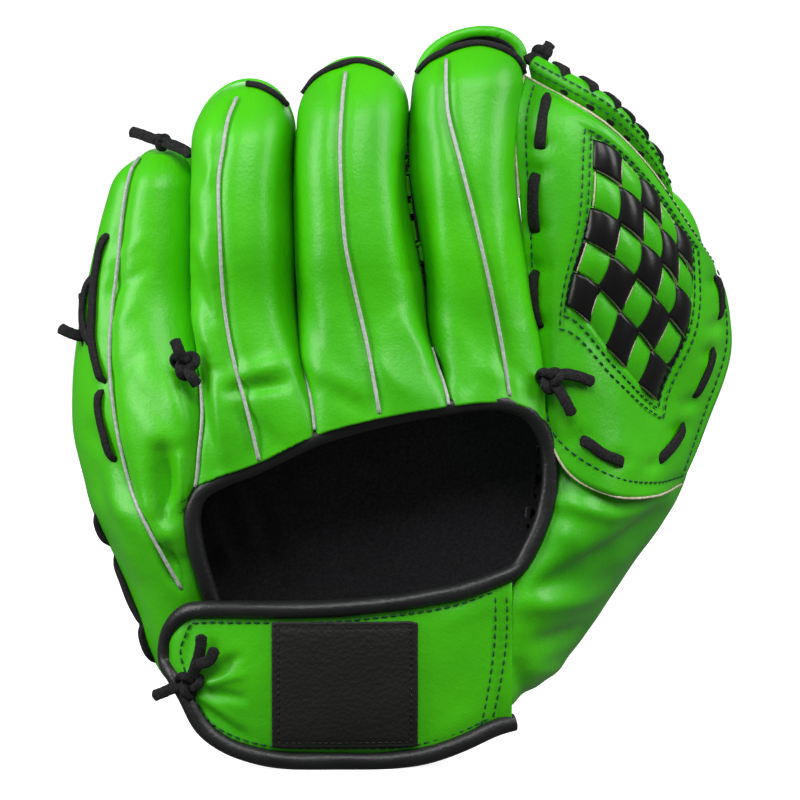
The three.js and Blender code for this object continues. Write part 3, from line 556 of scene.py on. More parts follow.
def fold_move(x, z, fold):
    """How far a fold (x, z, x, z, width, depth) moves the leather at a place."""
    x0, z0, x1, z1, width, depth = fold
    reach = FOLD_REACH * width
    if not (min(x0, x1) - reach < x < max(x0, x1) + reach
            and min(z0, z1) - reach < z < max(z0, z1) + reach):
        return 0.0
    dx, dz = x1 - x0, z1 - z0
    length2 = dx * dx + dz * dz or 1e-6
    s = clamp(((x - x0) * dx + (z - z0) * dz) / length2)
    q2 = ((x - x0 - s * dx) ** 2 + (z - z0 - s * dz) ** 2) / (width * width)
    ends = math.sin(math.pi * clamp(0.15 + 0.7 * s)) ** 0.8
    return depth * ends * (1.25 * math.exp(-q2) - 0.25 * math.exp(-q2 / 5))


def press(bm, folds):
    """Moves vertices along their normals by the folds they lie near."""
    bm.normal_update()
    moves = [sum(fold_move(vert.co.x, vert.co.z, fold) for fold in folds) for vert in bm.verts]
    for vert, move in zip(bm.verts, moves):
        if move:
            vert.co += vert.normal * move


def ripple(bm, size, depth, seed=0.0):
    """Uneven hand-made softness: a broad noise along the normals."""
    bm.normal_update()
    for vert in bm.verts:
        vert.co += vert.normal * depth * noise.noise(vert.co / size + Vector((seed, seed, seed)))


valley = (0, -10, 0, 10, 3, -2)
print("across a valley:", [round(fold_move(x, 0, valley), 2) for x in (0, 2, 4, 6, 8)])


# %% [markdown]
# ## Rolls, cords and laces
# A roll is a grid wrapped round a line: its long edges meet and are welded, and its ends are capped.
# Its section is round for a binding and a flattened round for a lace, which lies on the leather's face.
# Each point of the line has a way out of the leather, so that a flat lace never twists by itself.

# %% Rolls, cords and laces
def rolled(points, faces, section, around=12):
    """A closed bar along points. section(angle, share) gives a place on its rim there."""
    last = len(points) - 1

    def place(u, v):
        i = min(round(v * last), last)
        tangent = (points[min(last, i + 1)] - points[max(0, i - 1)]).normalized()
        up = (faces[i] - tangent * faces[i].dot(tangent)).normalized()
        side = tangent.cross(up)
        s, h = section(2 * math.pi * u, v)
        return points[i] + side * s + up * h

    bm = grid(around, last, place)
    bmesh.ops.remove_doubles(bm, verts=bm.verts, dist=1e-4)
    bmesh.ops.holes_fill(bm, edges=[edge for edge in bm.edges if edge.is_boundary], sides=0)
    bmesh.ops.recalc_face_normals(bm, faces=bm.faces)
    return shaded_smooth(bm)


def round_section(radius, uneven=0.0, seed=0.0):
    """A round cord that is a little uneven along its length."""
    def section(angle, share):
        puff = 1 + uneven * noise.noise(Vector((share * 40, math.cos(angle) + seed, math.sin(angle))))
        return radius * puff * math.cos(angle), radius * puff * math.sin(angle)
    return section


def flat_section(width, thick, taper=0.04):
    """A flat strip with soft edges, a little pinched at its two ends."""
    def section(angle, share):
        end = clamp(min(share, 1 - share) / taper + 0.45)
        c, s = math.cos(angle), math.sin(angle)
        wave = 1 + 0.07 * noise.noise(Vector((share * 17, width, c)))
        return (width / 2 * end * wave * math.copysign(abs(c) ** 0.55, c),
                thick / 2 * math.copysign(abs(s) ** 0.7, s))
    return section


lace_rim = flat_section(LACE_WIDTH, LACE_THICK)
print("half a lace is", round(lace_rim(0, 0.5)[0], 2), "by", round(lace_rim(math.pi / 2, 0.5)[1], 2), "mm")


# %% [markdown]
# ## Stitches
# A stitch is a short round of thread that dips into the leather at both ends. One small low sphere is
# stretched along the seam and copied at the real pitch, so hundreds of them stay light. A seam passes
# its line, and a function that tells which way is out of the leather at a point.

# %% Stitches
STITCH = SimpleNamespace(pitch=3.6, length=2.9, thick=0.42, stand=0.15)


def off_the_back(point):
    """The way out of the leather where it faces straight back, as on the strap."""
    return vec(0, -1, 0)


def stitches(at, out, pitch=STITCH.pitch, length=STITCH.length, thick=STITCH.thick):
    """Stitches along a line (a function of 0 to 1), with out(point) the leather's outward direction."""
    run = spaced(at, FINE_STEPS)
    total = sum((b - a).length for a, b in zip(run, run[1:]))
    count = max(1, round(total / pitch))
    holes = spaced(at, 2 * count)
    bm = bmesh.new()
    for a, b in zip(holes[0:-1:2], holes[1::2]):
        middle = a.lerp(b, 0.5)
        along = (b - a).normalized()
        up = out(middle)
        up = (up - along * up.dot(along)).normalized()
        turn = Matrix((along.cross(up), along, up)).transposed().to_4x4()
        size = Matrix.Diagonal((thick, length / 2, thick, 1))
        bmesh.ops.create_uvsphere(bm, u_segments=6, v_segments=4, radius=1,
                                  matrix=Matrix.Translation(middle + up * STITCH.stand) @ turn @ size)
    return shaded_smooth(bm)


sewn = stitches(line([(0, 0, 0), (36, 0, 0)]), off_the_back)
print("faces in a stitched line of 36 mm:", len(sewn.faces))
sewn.free()


# %% [markdown]
# ## The hand opening's rim
# The rim is one line: up the little finger's side, over the knuckles and down the thumb's side. From
# there the same roll of binding runs on along the strap, so both lines are made before the leather.
# The strap's table gives, from its left end to its right, how deep it lies and its two edges.

# %% Rim and strap lines
RIM = [(-62, 12, 18), (-66, 11.5, 36), (-73.5, 9.5, 62), (-79.8, 5.6, 84), (-81.3, 4.6, 98), (-78.5, 4, 107),
       (-70, 2.6, 113), (-55, 0.5, 119), (-32, -1.5, 130), (-9, -3, 137), (19, -2.5, 142), (38, 0, 143.5),
       (50, 6, 139), (57.5, 10, 127), (59, 9.5, 112), (56.5, 8, 98), (51.5, 5.5, 86), (45.5, 4, 79)]
RIM_FOLD_Z = 95
STRAP = table("x y low high", [
    (-92, 9, 40, 48), (-89, 4, 35, 55.5), (-84, 0.5, 27.5, 60.5), (-76, -3, 14.5, 62.2), (-65, -6, 7.8, 62.6),
    (-51, -8, 4.2, 62.8), (-38, -8.5, 3.4, 63), (-18, -8.5, 3.4, 64), (2, -6.5, 3.6, 66), (22, -3, 8.4, 69),
    (38, 1.5, 15, 74)])
rim_fine = [p for p in spaced(line(RIM), 400) if p.z > RIM_FOLD_Z]


def rim_height(x):
    """Height of the rim's upper edge over a place across the mitt."""
    return max(p.z for p in rim_fine if abs(p.x - x) < BINDING_RADIUS - 0.5)


print("rim samples over the knuckles:", len(rim_fine))

# %% [markdown]
# ## Finger backs
# Each finger's back is two panels that meet at a piped seam, stuffed until they bulge. The piping pulls
# the leather in along a line, so a shallow groove follows it. The folds lie where the light shows them
# on the real leather: along the sides of the fingers and over the knuckles, where a hand bends them.

# %% Piping lines and folds of the backs
PIPING = {
    "pinky": [(238, -104.5), (233, -107.5), (216.5, -110.5), (195, -112.5), (178, -114.5), (160, -115.5),
              (142, -114), (125, -111), (107, -106), (89, -97), (69, -86)],
    "ring": [(262, -64.5), (254, -67.5), (242, -69.4), (230, -71), (210, -70.5), (183, -69), (162, -65.5),
             (140, -59.5), (121, -55)],
    "middle": [(272, -21.5), (262, -22.5), (242, -23.4), (207, -21.5), (187, -17.6), (165, -12.5), (140, -8)],
    "index": [(277, 18), (268, 17.9), (256, 18.7), (239, 23), (216, 28.9), (191, 34.7), (165, 40), (146, 43)],
}
PIPED = {name: table("z x", sorted(rows)) for name, rows in PIPING.items()}
GROOVE = SimpleNamespace(width=3.2, depth=1.5)
FOLDS = {
    "pinky": [
        (-116, 196, -102, 206, 3.0, 0.7), (-116, 184, -101, 194, 3.0, -0.9), (-115, 170, -104, 181, 3.5, 0.8),
        (-113, 150, -103, 162, 4.0, -0.8), (-93, 122, -92, 99, 5.0, -7.5), (-91, 84, -87, 76, 4.0, -3.5),
        (-85.9, 122, -85.2, 84, 1.6, 2.0),
        (-117, 120, -110, 98, 3.5, 1.6), (-111, 90, -104, 74, 4.0, 1.2), (-122, 130, -112, 116, 4.0, -1.4),
        (-116, 108, -108, 92, 3.5, 1.0), (-90, 152, -84, 132, 4.0, 1.4), (-104, 148, -90, 134, 4.5, -1.0)],
    "ring": [
        (-80, 206, -73, 190, 3.0, 1.0), (-80, 190, -74, 176, 3.0, -1.2), (-80, 176, -73, 160, 3.2, 1.3),
        (-79, 236, -74, 214, 3.6, -0.8), (-80, 222, -72, 236, 3.0, 0.6), (-64, 154, -44, 159, 4.2, 1.5),
        (-66, 148, -46, 151, 3.0, -1.8), (-72, 150, -70, 124, 4.0, 1.6), (-62, 140, -50, 128, 4.0, -1.3),
        (-77, 150, -72, 118, 3.5, -1.2)],
    "middle": [
        (-36, 160, -20, 148, 5.0, 1.2), (-28, 150, -14, 141, 4.0, -1.1), (0, 176, 10, 160, 4.0, 1.4),
        (-38, 186, -33, 168, 3.6, -0.7), (2, 236, 4, 196, 4.5, -1.8), (-10, 160, 4, 148, 4.0, 0.8)],
    "index": [
        (8, 246, 10, 190, 5.0, -1.4), (16, 176, 30, 160, 5.0, 0.8), (8, 162, 24, 150, 4.0, -0.8),
        (44, 214, 46, 176, 4.0, -0.9), (30, 158, 46, 150, 4.0, 0.7), (46, 156, 54, 140, 3.5, -1.0)],
    "thumb": [
        (62, 104, 84, 97, 3.0, 1.6), (84, 97, 100, 98, 3.0, 1.2), (58, 71, 80, 80, 5.0, -2.6),
        (80, 80, 104, 92, 5.0, -3.0), (50, 64, 80, 62, 5.0, 2.4), (56, 48, 72, 48, 5.0, -2.6),
        (46, 38, 50, 22, 4.0, -1.8), (54, 36, 66, 30, 4.0, 1.4), (60, 92, 70, 88, 5.0, 1.2),
        (84, 66, 92, 78, 4.0, 1.2)],
}
print("folds:", {name: len(folds) for name, folds in FOLDS.items()})

# %% [markdown]
# ## Finger backs
# A back is a grid from its foot to its tip. The ring, middle and index backs start at the rim of the
# hand opening, and those of the little finger and thumb run down to the wrist, tucked under the binding
# where they pass the opening. Even rows would leave the tip angular, so the last sixth of them lies
# closer and closer together there, as the sine of an angle does.

# %% Finger backs
FROM_RIM = {"pinky": False, "ring": True, "middle": True, "index": True, "thumb": False}
TIP_SHARE = 0.16
KNUCKLES_Z = 130


def tip_height(top, curl, v):
    """The height of a row of the tip: v runs from 1 - TIP_SHARE to 1."""
    return top - curl + curl * math.sin(math.pi / 2 * 0.999 * (v - 1 + TIP_SHARE) / TIP_SHARE)


def back_height(name, from_rim, u, v):
    """The height of a back's vertex: even rows up the finger, then closer ones round its tip."""
    made = STALLS[name]
    if v > 1 - TIP_SHARE:
        return tip_height(made.back, made.curl, v)
    foot = rim_height(stall_point(name, "back", u, KNUCKLES_Z).x) if from_rim else 0.0
    return mix(foot, made.back - made.curl, v / (1 - TIP_SHARE))


def back_place(name, from_rim, u, v):
    """A place on a back. Beside the hand opening the leather is tucked under the binding."""
    p = stall_point(name, "back", u, back_height(name, from_rim, u, v))
    if name == "pinky":
        p += vec(3.4, 2.6, 0) * smooth(u, 0.95, 1.0) * (1 - smooth(p.z, 104, 118))
    if name == "thumb":
        beside = smooth(p.z, 72, 84) * (1 - smooth(p.z, 120, 132))
        p += vec(-4.5, 1.5, 0) * (1 - smooth(u, 0.0, 0.06)) * beside
    return heel(p)


def back_panel(name, from_rim):
    """One finger's back, with the groove of its piping, its folds and its softness."""
    bm = grid(64, 170, lambda u, v: back_place(name, from_rim, u, v))
    if name in PIPED:
        seam = PIPED[name]
        bm.normal_update()
        for vert in bm.verts:
            x, z = vert.co.x, vert.co.z
            if seam.start - 4 < z < seam.end + 4:
                off = (x - seam.x(z)) / GROOVE.width
                ends = smooth(z, seam.start - 4, seam.start + 6) * (1 - smooth(z, seam.end - 2, seam.end + 4))
                vert.co -= vert.normal * GROOVE.depth * ends * math.exp(-off * off)
    press(bm, FOLDS[name])
    ripple(bm, 22.0, 0.5, len(name))
    return bm


for name, from_rim in FROM_RIM.items():
    finish_piece(f"{name}_leather", back_panel(name, from_rim), [GREEN_LEATHER, LINING], [f"{name}_back"],
                 wall=BACK_WALL, inside=1)

# %% [markdown]
# ## A skin over the palm
# The palm is one big piece of leather over a pad. Each stall gives a grid of it, and grids that share a
# seam are welded into one skin. Below the crotch of the fingers and above it the rows are spread
# evenly, so that a row lies on the crotch itself. Crowded vertices are relaxed, as leather would be.

# %% A skin over the palm
def palm_height(name, v, low, high):
    """The height of a palm's row, from low up to the stall's tip or to high, whichever comes first."""
    made = STALLS[name]
    if not made.curl:
        return mix(low, min(high, made.palm), v)
    start = made.palm - made.curl
    if high < start:
        return mix(low, high, v)
    if v > 1 - TIP_SHARE:
        return tip_height(made.palm, made.curl, v)
    rows = v / (1 - TIP_SHARE)
    return mix(low, CROTCH_Z, rows * 2) if rows < 0.5 else mix(CROTCH_Z, start, rows * 2 - 1)


def palm_skin(names, across, rows, low=0.0, high=999.0, weld=0.15):
    """The palm's face over some stalls, welded where their edges are closer than weld."""
    parts = []
    for name in names:
        part = grid(across, rows, lambda u, v: heel(
            stall_point(name, "palm", u, palm_height(name, v, low, high))))
        bmesh.ops.reverse_faces(part, faces=part.faces)
        parts.append(part)
    skin = merged(parts)
    bmesh.ops.remove_doubles(skin, verts=skin.verts, dist=weld)
    skin.normal_update()
    return shaded_smooth(skin)


def relax(bm, times, among=lambda place: True):
    """Smooths the inner vertices that lie among the wanted places."""
    moved = [vert for vert in bm.verts if among(vert.co) and not vert.is_boundary]
    for _ in range(times):
        bmesh.ops.smooth_vert(bm, verts=moved, factor=0.5, use_axis_x=True, use_axis_y=True, use_axis_z=True)


print("the palm's middle row is", round(palm_height("middle", 0.42, 0.0, 999.0)), "mm up")

# %% [markdown]
# ## Palm
# The palm is creased where a closing hand folds it: across under the fingers, and round the ball of the
# thumb. Its solid pad is inside, so the leather here is drawn as a wall of 4 mm with a black inside.

# %% Palm
PALM_FOLDS = [
    (-70, 60, -20, 92, 7.0, -1.6), (-20, 92, 30, 96, 7.0, -1.6), (-60, 100, 10, 118, 8.0, -1.2),
    (10, 118, 50, 122, 7.0, -1.0), (0, 20, 44, 70, 8.0, -1.8), (-88, 120, -60, 132, 6.0, -1.4),
    (-60, 132, 40, 138, 6.0, -1.3), (-60, 30, -50, 70, 6.0, 0.9), (20, 40, 30, 90, 6.0, 0.8)]
HEEL_CORNER = SimpleNamespace(right_of=6, below=36)

palm = palm_skin(["pinky", "ring", "middle", "index", "thumb"], 28, 150)
corner = palm_skin(["corner"], 28, 90)
for part in (palm, corner):
    press(part, PALM_FOLDS)
    ripple(part, 26.0, 0.5, 3.0)
whole_palm = merged([palm, corner])
bmesh.ops.remove_doubles(whole_palm, verts=whole_palm.verts, dist=0.8)
relax(whole_palm, 14, lambda place: place.x > HEEL_CORNER.right_of and place.z < HEEL_CORNER.below)
finish_piece("palm_leather", whole_palm, [GREEN_LEATHER, LINING], ["palm"],
             wall=4.0, inside=1)

# %% [markdown]
# ## Lining
# The lining is a second skin inside the pad, and it is what shows through the hand opening. It starts
# as the palm's own face, is relaxed until the seams are gone, and is then sunk through the pad's
# thickness. It is rucked where the hand rubs it.

# %% Lining
LINING_FOLDS = [
    (-70, 112, -58, 84, 3.2, -2.2), (-64, 116, -50, 78, 3.0, 1.8), (-78, 96, -66, 70, 3.0, -1.6),
    (-58, 96, -40, 80, 3.0, -1.2), (-50, 120, -42, 88, 3.5, 0.9), (30, 130, 44, 96, 4.0, -1.0),
    (-74, 84, -48, 74, 3.0, 1.4), (-20, 110, 20, 96, 6.0, 0.8)]
LINING_GAP = 0.9

lining = palm_skin(["pinky", "ring", "middle", "index", "corner"], 30, 90, 2.0, 158.0, 1.0)
relax(lining, 40)
lining.normal_update()
for vert in lining.verts:
    vert.co -= vert.normal * (PALM_WALL.wall(vert.co.z) + LINING_GAP)
press(lining, LINING_FOLDS)
ripple(lining, 9.0, 0.9, 11.0)
finish_piece("hand_lining", lining, [LINING], ["palm_lining"], wall=1.0)

# %% [markdown]
# ## The web's surface
# The web is one piece of leather between the index finger and the thumb. A net of points gives its
# surface: five rows from its lower to its upper edge, each from the finger to the thumb. Everything on
# the web is placed by u, its share from finger to thumb, and v, its share from the lower edge up.

# %% The web's surface
WEB_NET = [
    [(58.5, 9, 127.5), (67, 7, 114), (83, 11, 105.5), (101, 31, 103), (114, 60, 105)],
    [(51.5, 20, 176), (66, 12, 180), (85, 19, 159), (101.5, 38, 141.5), (127, 76, 131)],
    [(48, 22, 214), (74.5, 12, 212), (98.5, 24, 194), (115, 45, 173), (136, 86, 158)],
    [(45.5, 27, 254), (77, 18, 245), (98, 29, 226), (116, 50, 202), (133, 84, 183)],
    [(49.5, 37, 270), (78.5, 22, 253), (97, 33, 235.5), (115, 54, 211), (129, 80, 191)],
]
WEB_HEIGHT = 150
WEB_ROWS = [line(row) for row in WEB_NET]
SEARCH_STEPS = 14


@functools.lru_cache(maxsize=None)
def web_column(u):
    """The line up the web at a share across it."""
    return line([row(clamp(u)) for row in WEB_ROWS])


def web_flat(u, v):
    """A point of the web's middle surface, which runs straight on above its upper edge."""
    column = web_column(round(u, 5))
    p = column(v)
    if v > 1:
        p = p + (column(1) - column(0.99)).normalized() * ((v - 1) * WEB_HEIGHT)
    return p


@functools.lru_cache(maxsize=None)
def kept_web_out(u, v):
    return outward(web_flat, clamp(u, 0.01, 0.99), clamp(v, 0.01, 0.99), 0.01, 0.01)


def web_out(u, v):
    """The web's outward direction, worked out once for each place."""
    return kept_web_out(round(u, 4), round(v, 4))


def web_point(u, v, lift=0.0):
    """A point of the web, lifted off its middle surface."""
    return web_flat(u, v) + web_out(u, v) * lift


print("web is", round((web_point(0.5, 1) - web_point(0.5, 0)).length), "mm up its middle")

# %% [markdown]
# ## Finding a place on the web
# Laces were placed across and up the mitt, but they must lie on the web. So the web's u and v
# at such a place are looked for: from a guess, each step goes where the surface's own slopes say.

# %% Finding a place on the web
def web_at(x, z):
    """The web's u and v at a place across and up the mitt."""
    u, v, e = 0.4, 0.5, 0.01
    for _ in range(SEARCH_STEPS):
        p = web_flat(u, v)
        du = (web_flat(u + e, v) - web_flat(u - e, v)) / (2 * e)
        dv = (web_flat(u, v + e) - web_flat(u, v - e)) / (2 * e)
        det = du.x * dv.z - du.z * dv.x
        dx, dz = x - p.x, z - p.z
        step = Vector(((dx * dv.z - dz * dv.x) / det, (dz * du.x - dx * du.z) / det))
        if step.length > 0.2:
            step *= 0.2 / step.length
        u, v = clamp(u + step.x, 0.02, 0.98), clamp(v + step.y, 0.02, 0.98)
    return u, v


print("the web's u and v at (90, 180):", [round(share, 2) for share in web_at(90, 180)])

# %% [markdown]
# ## Web panel
# The panel's frame is a puffed border round the woven window. Stitch lines pull it in, and each lace
# that goes through it leaves a dent, so both are pressed in before the wall is given. A lace's rows
# give places across and up the mitt, with 1 over the web and -1 under it, so that a change of sign is
# a hole.

# %% Web panel
WEB_BORDER = 0.035
WEAVE = SimpleNamespace(start=0.25, end=0.75, count=5, lift=1.25, crown=0.75, slit=0.0015)
FRAME = SimpleNamespace(puff=1.4, groove=0.45, groove_width=0.012)
HOLE_DENT = (2.5, 3.4, -1.5)
WEB_LACES = {
    "web_lace_left": [(58.5, 262, 1), (57.5, 257, 1), (55.5, 243, 1), (55, 240, -1), (54, 233, -1),
                      (53.5, 230, 1), (53.5, 211, 1), (53.5, 207, -1), (53.5, 195, -1), (53.5, 191, 1),
                      (55, 173, 1), (55.5, 170, -1), (57, 164, -1)],
    "web_lace_low": [(66, 131, -1), (70, 128, -1), (72.5, 127, 1), (79, 122, 1), (86, 118.5, 1),
                     (89, 117, -1), (93, 115, -1)],
    "web_lace_right": [(99, 113, -1), (101.5, 115.5, -1), (103.5, 118, 1), (113, 128, 1), (116, 131, -1),
                       (118, 138, -1), (119, 142, 1), (126, 158, 1), (128, 162, -1), (129, 169, -1),
                       (129, 173, 1), (128, 187, 1), (127.5, 190, -1)],
}


def window_distance(u, v):
    """How far a place is outside the window, in shares of the web."""
    return max(WEAVE.start - u, u - WEAVE.end, WEAVE.start - v, v - WEAVE.end)


def frame_lift(u, v):
    """The frame's puffed face: pulled in at its stitched borders, full between them."""
    edge = min(u, 1 - u, v, 1 - v)
    inside = window_distance(u, v)
    puff = smooth(inside, 0.0, 0.10) * smooth(edge, 0.0, 0.10)
    groove = sum(math.exp(-(off / FRAME.groove_width) ** 2) for off in (edge - WEB_BORDER, inside - 0.02))
    return FRAME.puff * puff - FRAME.groove * groove


web_grid = grid(88, 96, lambda u, v: Vector((u, v, 0)))
inner = [f for f in web_grid.faces if window_distance(*f.calc_center_median().xy) < -0.004]
bmesh.ops.delete(web_grid, geom=inner, context="FACES")
for vert in web_grid.verts:
    u, v = vert.co.x, vert.co.y
    vert.co = web_point(u, v, frame_lift(u, v) + WEB_WALL / 2)
holes = [row[:2] for rows in WEB_LACES.values() for row, after in zip(rows, rows[1:]) if row[2] != after[2]]
half, width, depth = HOLE_DENT
press(web_grid, [(x - half, z, x + half, z, width, depth) for x, z in holes])
ripple(web_grid, 24.0, 0.7, 5.0)
finish_piece("web_leather", web_grid, [GREEN_LEATHER, CUT_EDGE], ["web_panel"],
             wall=WEB_WALL, rim=1)

# %% [markdown]
# ## Raw edges
# The web is cut, not hemmed, and its pale cloth back frays a little past the green skin. So a narrow
# ribbon of the cloth runs along its upper, left and lower edges, where the photo shows a pale line.

# %% Raw edges
def raw_edge(place, count=60, width=0.9):
    """A frayed ribbon of cloth along place(share), which gives a point and the way out there."""
    shown = [place(i / count) for i in range(count + 1)]
    return rolled([p for p, _ in shown], [out for _, out in shown], flat_section(width, 0.5), 8)


def web_border(u0, v0, u1, v1):
    """The raw edge along the web between two places."""
    def place(share):
        u, v = mix(u0, u1, share), mix(v0, v1, share)
        return web_point(u, v, WEB_WALL / 2 + 0.1), web_out(u, v)
    return raw_edge(place)


RAW_BORDERS = [(0, 1, 0.9, 1), (0, 1, 0, 0.55), (0, 0.22, 0, 0), (0, 0, 1, 0)]
finish_piece("web_raw_edges", merged([web_border(*border) for border in RAW_BORDERS]), [CUT_EDGE], [])

# %% [markdown]
# ## How a woven strip lies
# The middle of the web is slit into rails, and bands of black leather are woven through them. Rails and
# bands are the same strip of leather, turned a quarter. A strip goes over one neighbour and under the
# next: its lift is a sine along its length, and each crossing is crowned like a small cushion.

# %% How a woven strip lies
CELL = (WEAVE.end - WEAVE.start) / WEAVE.count
TUCK = 0.35


def strip_sides(k):
    """The two long edges of strip k, as shares of the web."""
    start = WEAVE.start + k * CELL
    return start + WEAVE.slit, WEAVE.start + (k + 1) * CELL - WEAVE.slit


def is_over_first(k, is_rail):
    """Bands are over at the window's corners."""
    return k % 2 == (1 if is_rail else 0)


def strip_lift(along, across, over_first):
    """Lift of a strip: along counts the crossings from the window's edge, across runs from -1 to 1."""
    n = clamp(math.floor(along), 0, WEAVE.count - 1)
    over = (n % 2 == 0) == over_first
    hump = math.sin(math.pi * clamp(along - n)) ** 0.7 if 0 < along < WEAVE.count else 0.0
    if over:
        return WEAVE.lift * hump + WEAVE.crown * hump * (1 - across * across)
    return -WEAVE.lift * hump - 0.4


print("a strip's lift over its first crossings:", [round(strip_lift(i / 2, 0, True), 1) for i in range(6)])

# %% [markdown]
# ## Raw edges of the weave
# Each strip is cut, so its pale cloth back shows as a hair line along its edge. A thin ribbon of cloth
# is laid along one long edge of every strip, where the light falls on it: a rail's left one and a
# band's lower one. The neighbour hides the other.

# %% Raw edges of the weave
def strip_edge(k, is_rail):
    """The pale cut along one long edge of a strip."""
    low, high = strip_sides(k)

    def place(share):
        along = share * WEAVE.count
        t = WEAVE.start + along * CELL
        lift = strip_lift(along, 1.0, is_over_first(k, is_rail)) + 0.05
        u, v = (low, t) if is_rail else (t, 1 - high)
        return web_point(u, v, lift), web_out(u, v)
    return raw_edge(place, 110, 0.6)


strip_edges = [strip_edge(k, is_rail) for k in range(WEAVE.count) for is_rail in (True, False)]
finish_piece("weave_raw_edges", merged(strip_edges), [CUT_EDGE], [])

# %% [markdown]
# ## Rails and bands
# Each strip is a long narrow grid that follows the web's surface at its own lift. The rails are one
# piece, as they are on the web, and each band is a piece of its own. A wall gives both their thickness.

# %% Rails and bands
def weave_strip(k, is_rail):
    """Rail k runs up the web and band k across it. Both are tucked under the frame at their ends."""
    low, high = strip_sides(k)

    def place(a, b):
        along = mix(-TUCK, WEAVE.count + TUCK, b)
        w, t = mix(low, high, a), WEAVE.start + along * CELL
        lift = strip_lift(along, 2 * a - 1, is_over_first(k, is_rail))
        if along < 0 or along > WEAVE.count:
            lift = -1.0 * min(1, abs(clamp(along, 0, WEAVE.count) - along) / TUCK) - 0.3
        return web_point(w, t, lift) if is_rail else web_point(t, 1 - w, lift)

    bm = grid(10, 110, place)
    if not is_rail:
        bmesh.ops.reverse_faces(bm, faces=bm.faces)
    return bm


rails = merged([weave_strip(k, True) for k in range(WEAVE.count)])
finish_piece("web_rails", rails, [GREEN_LEATHER, CUT_EDGE], [], wall=1.1, rim=1)
for k in range(WEAVE.count):
    finish_piece(f"woven_band_{k + 1}", weave_strip(k, False), [BLACK_BAND, CUT_EDGE],
                 [f"web_band_{WEAVE.count - k}"], wall=1.1, rim=1)

# %% [markdown]
# ## Rolled edge of the web
# Above the weave a band of leather is sewn behind the panel's edge and rolled over a cord. The roll runs
# beside the edge, as far off it as its own radius and a lace, and dwindles where it meets the thumb.

# %% Rolled edge of the web
ROLL = SimpleNamespace(radius=3.6, start=0.02, end=0.66, dwindle=0.22)
ROLL_OFF = ROLL.radius + 1.65 + LACE_THICK
ROLL_STEPS = 120


def roll_share(s):
    """How full the roll is: it dwindles to nothing over its last part."""
    return math.sqrt(clamp((1.001 - s) / ROLL.dwindle))


def roll_place(s):
    """The roll's middle, beside the web's upper edge."""
    return web_point(mix(ROLL.start, ROLL.end, s), 1 + ROLL_OFF * mix(0.2, 1.0, roll_share(s)) / WEB_HEIGHT)


def roll_section(angle, share):
    radius = (ROLL.radius - 0.5) * roll_share(share)
    return radius * math.cos(angle), radius * math.sin(angle)


def roll_out(s):
    """The web's outward way beside the roll."""
    return web_out(mix(ROLL.start, ROLL.end, s), 0.99)


roll_line = line([roll_place(i / 24) for i in range(25)])
roll_ways = [roll_out(i / ROLL_STEPS) for i in range(ROLL_STEPS + 1)]
finish_piece("rolled_web_edge", rolled(spaced(roll_line, ROLL_STEPS), roll_ways, roll_section, 16),
             [GREEN_LEATHER], ["web_roll"])

# %% [markdown]
# ## Sewn band over the roll
# The band is a grid: it starts flat under the panel's edge, climbs onto the roll and goes round its
# outer side. Places on the roll are given by an angle, which is 0 towards the web's outward side and
# grows over the roll's own outer side.

# %% Sewn band over the roll
BAND = SimpleNamespace(first=-55, last=120, flat=0.2, on_roll=0.45)


def roll_frame(s):
    """The roll's middle at a share of its length, the way along it and the way out of the web there."""
    at = roll_line(s)
    tangent = (roll_line(s + 0.01) - roll_line(s - 0.01)).normalized()
    out = roll_out(s)
    return at, tangent, (out - tangent * out.dot(tangent)).normalized()


def band_point(s, angle, off=0.25):
    """A place on the roll at a share of its length, an angle from the web's outward way, and off it."""
    at, tangent, out = roll_frame(s)
    beyond = out.cross(tangent)
    if beyond.dot(at - web_point(0.5, 0.5)) < 0:
        beyond = -beyond
    turned = math.radians(angle)
    return at + (out * math.cos(turned) + beyond * math.sin(turned)) * (ROLL.radius * roll_share(s) + off)


def band_place(s, v):
    """The sewn band: flat behind the panel's edge, then up onto the roll and round its outer side."""
    if v > BAND.on_roll:
        return band_point(s, mix(BAND.first, BAND.last, (v - BAND.on_roll) / (1 - BAND.on_roll)))
    along = mix(ROLL.start, ROLL.end, s)
    behind = web_point(along, 0.975, -WEB_WALL - 0.2)
    beside = web_point(along, 1 + 0.8 * roll_share(s) / WEB_HEIGHT, -WEB_WALL)
    if v < BAND.flat:
        return behind.lerp(beside, v / BAND.flat)
    return beside.lerp(band_point(s, BAND.first), (v - BAND.flat) / (BAND.on_roll - BAND.flat))


finish_piece("web_edge_band", grid(110, 36, band_place), [GREEN_LEATHER, CUT_EDGE], [],
             wall=0.8, rim=1)

# %% [markdown]
# ## Wound lace
# A lace winds through holes in the band and over the roll, so it shows only where it crosses the outer
# edge. Its line is a helix round the roll. In the first half of a turn it shows and runs on along the
# roll, and in the second half it dives into the leather in front and comes back behind.

# %% Wound lace
WRAPS = SimpleNamespace(turns=6, start=0.06, end=0.9, steps=30, shown_run=0.8, dive=2.6, width=4.2)
WRAP_ANGLES = (115, 12, -245)


def wound_place(i):
    """Step i of the lace: its share of the roll's length, its angle, and how deep it is buried."""
    turn, step = divmod(i, WRAPS.steps)
    part = step / WRAPS.steps
    first, middle, last = WRAP_ANGLES
    if part < 0.5:
        angle, run = mix(first, middle, part * 2), mix(0, WRAPS.shown_run, part * 2)
    else:
        angle, run = mix(middle, last, part * 2 - 1), mix(WRAPS.shown_run, 1.0, part * 2 - 1)
    share = WRAPS.start + (WRAPS.end - WRAPS.start) / WRAPS.turns * (turn + run)
    return share, angle, WRAPS.dive * smooth(angle, -100, -60) * (1 - smooth(angle, 8, 40))


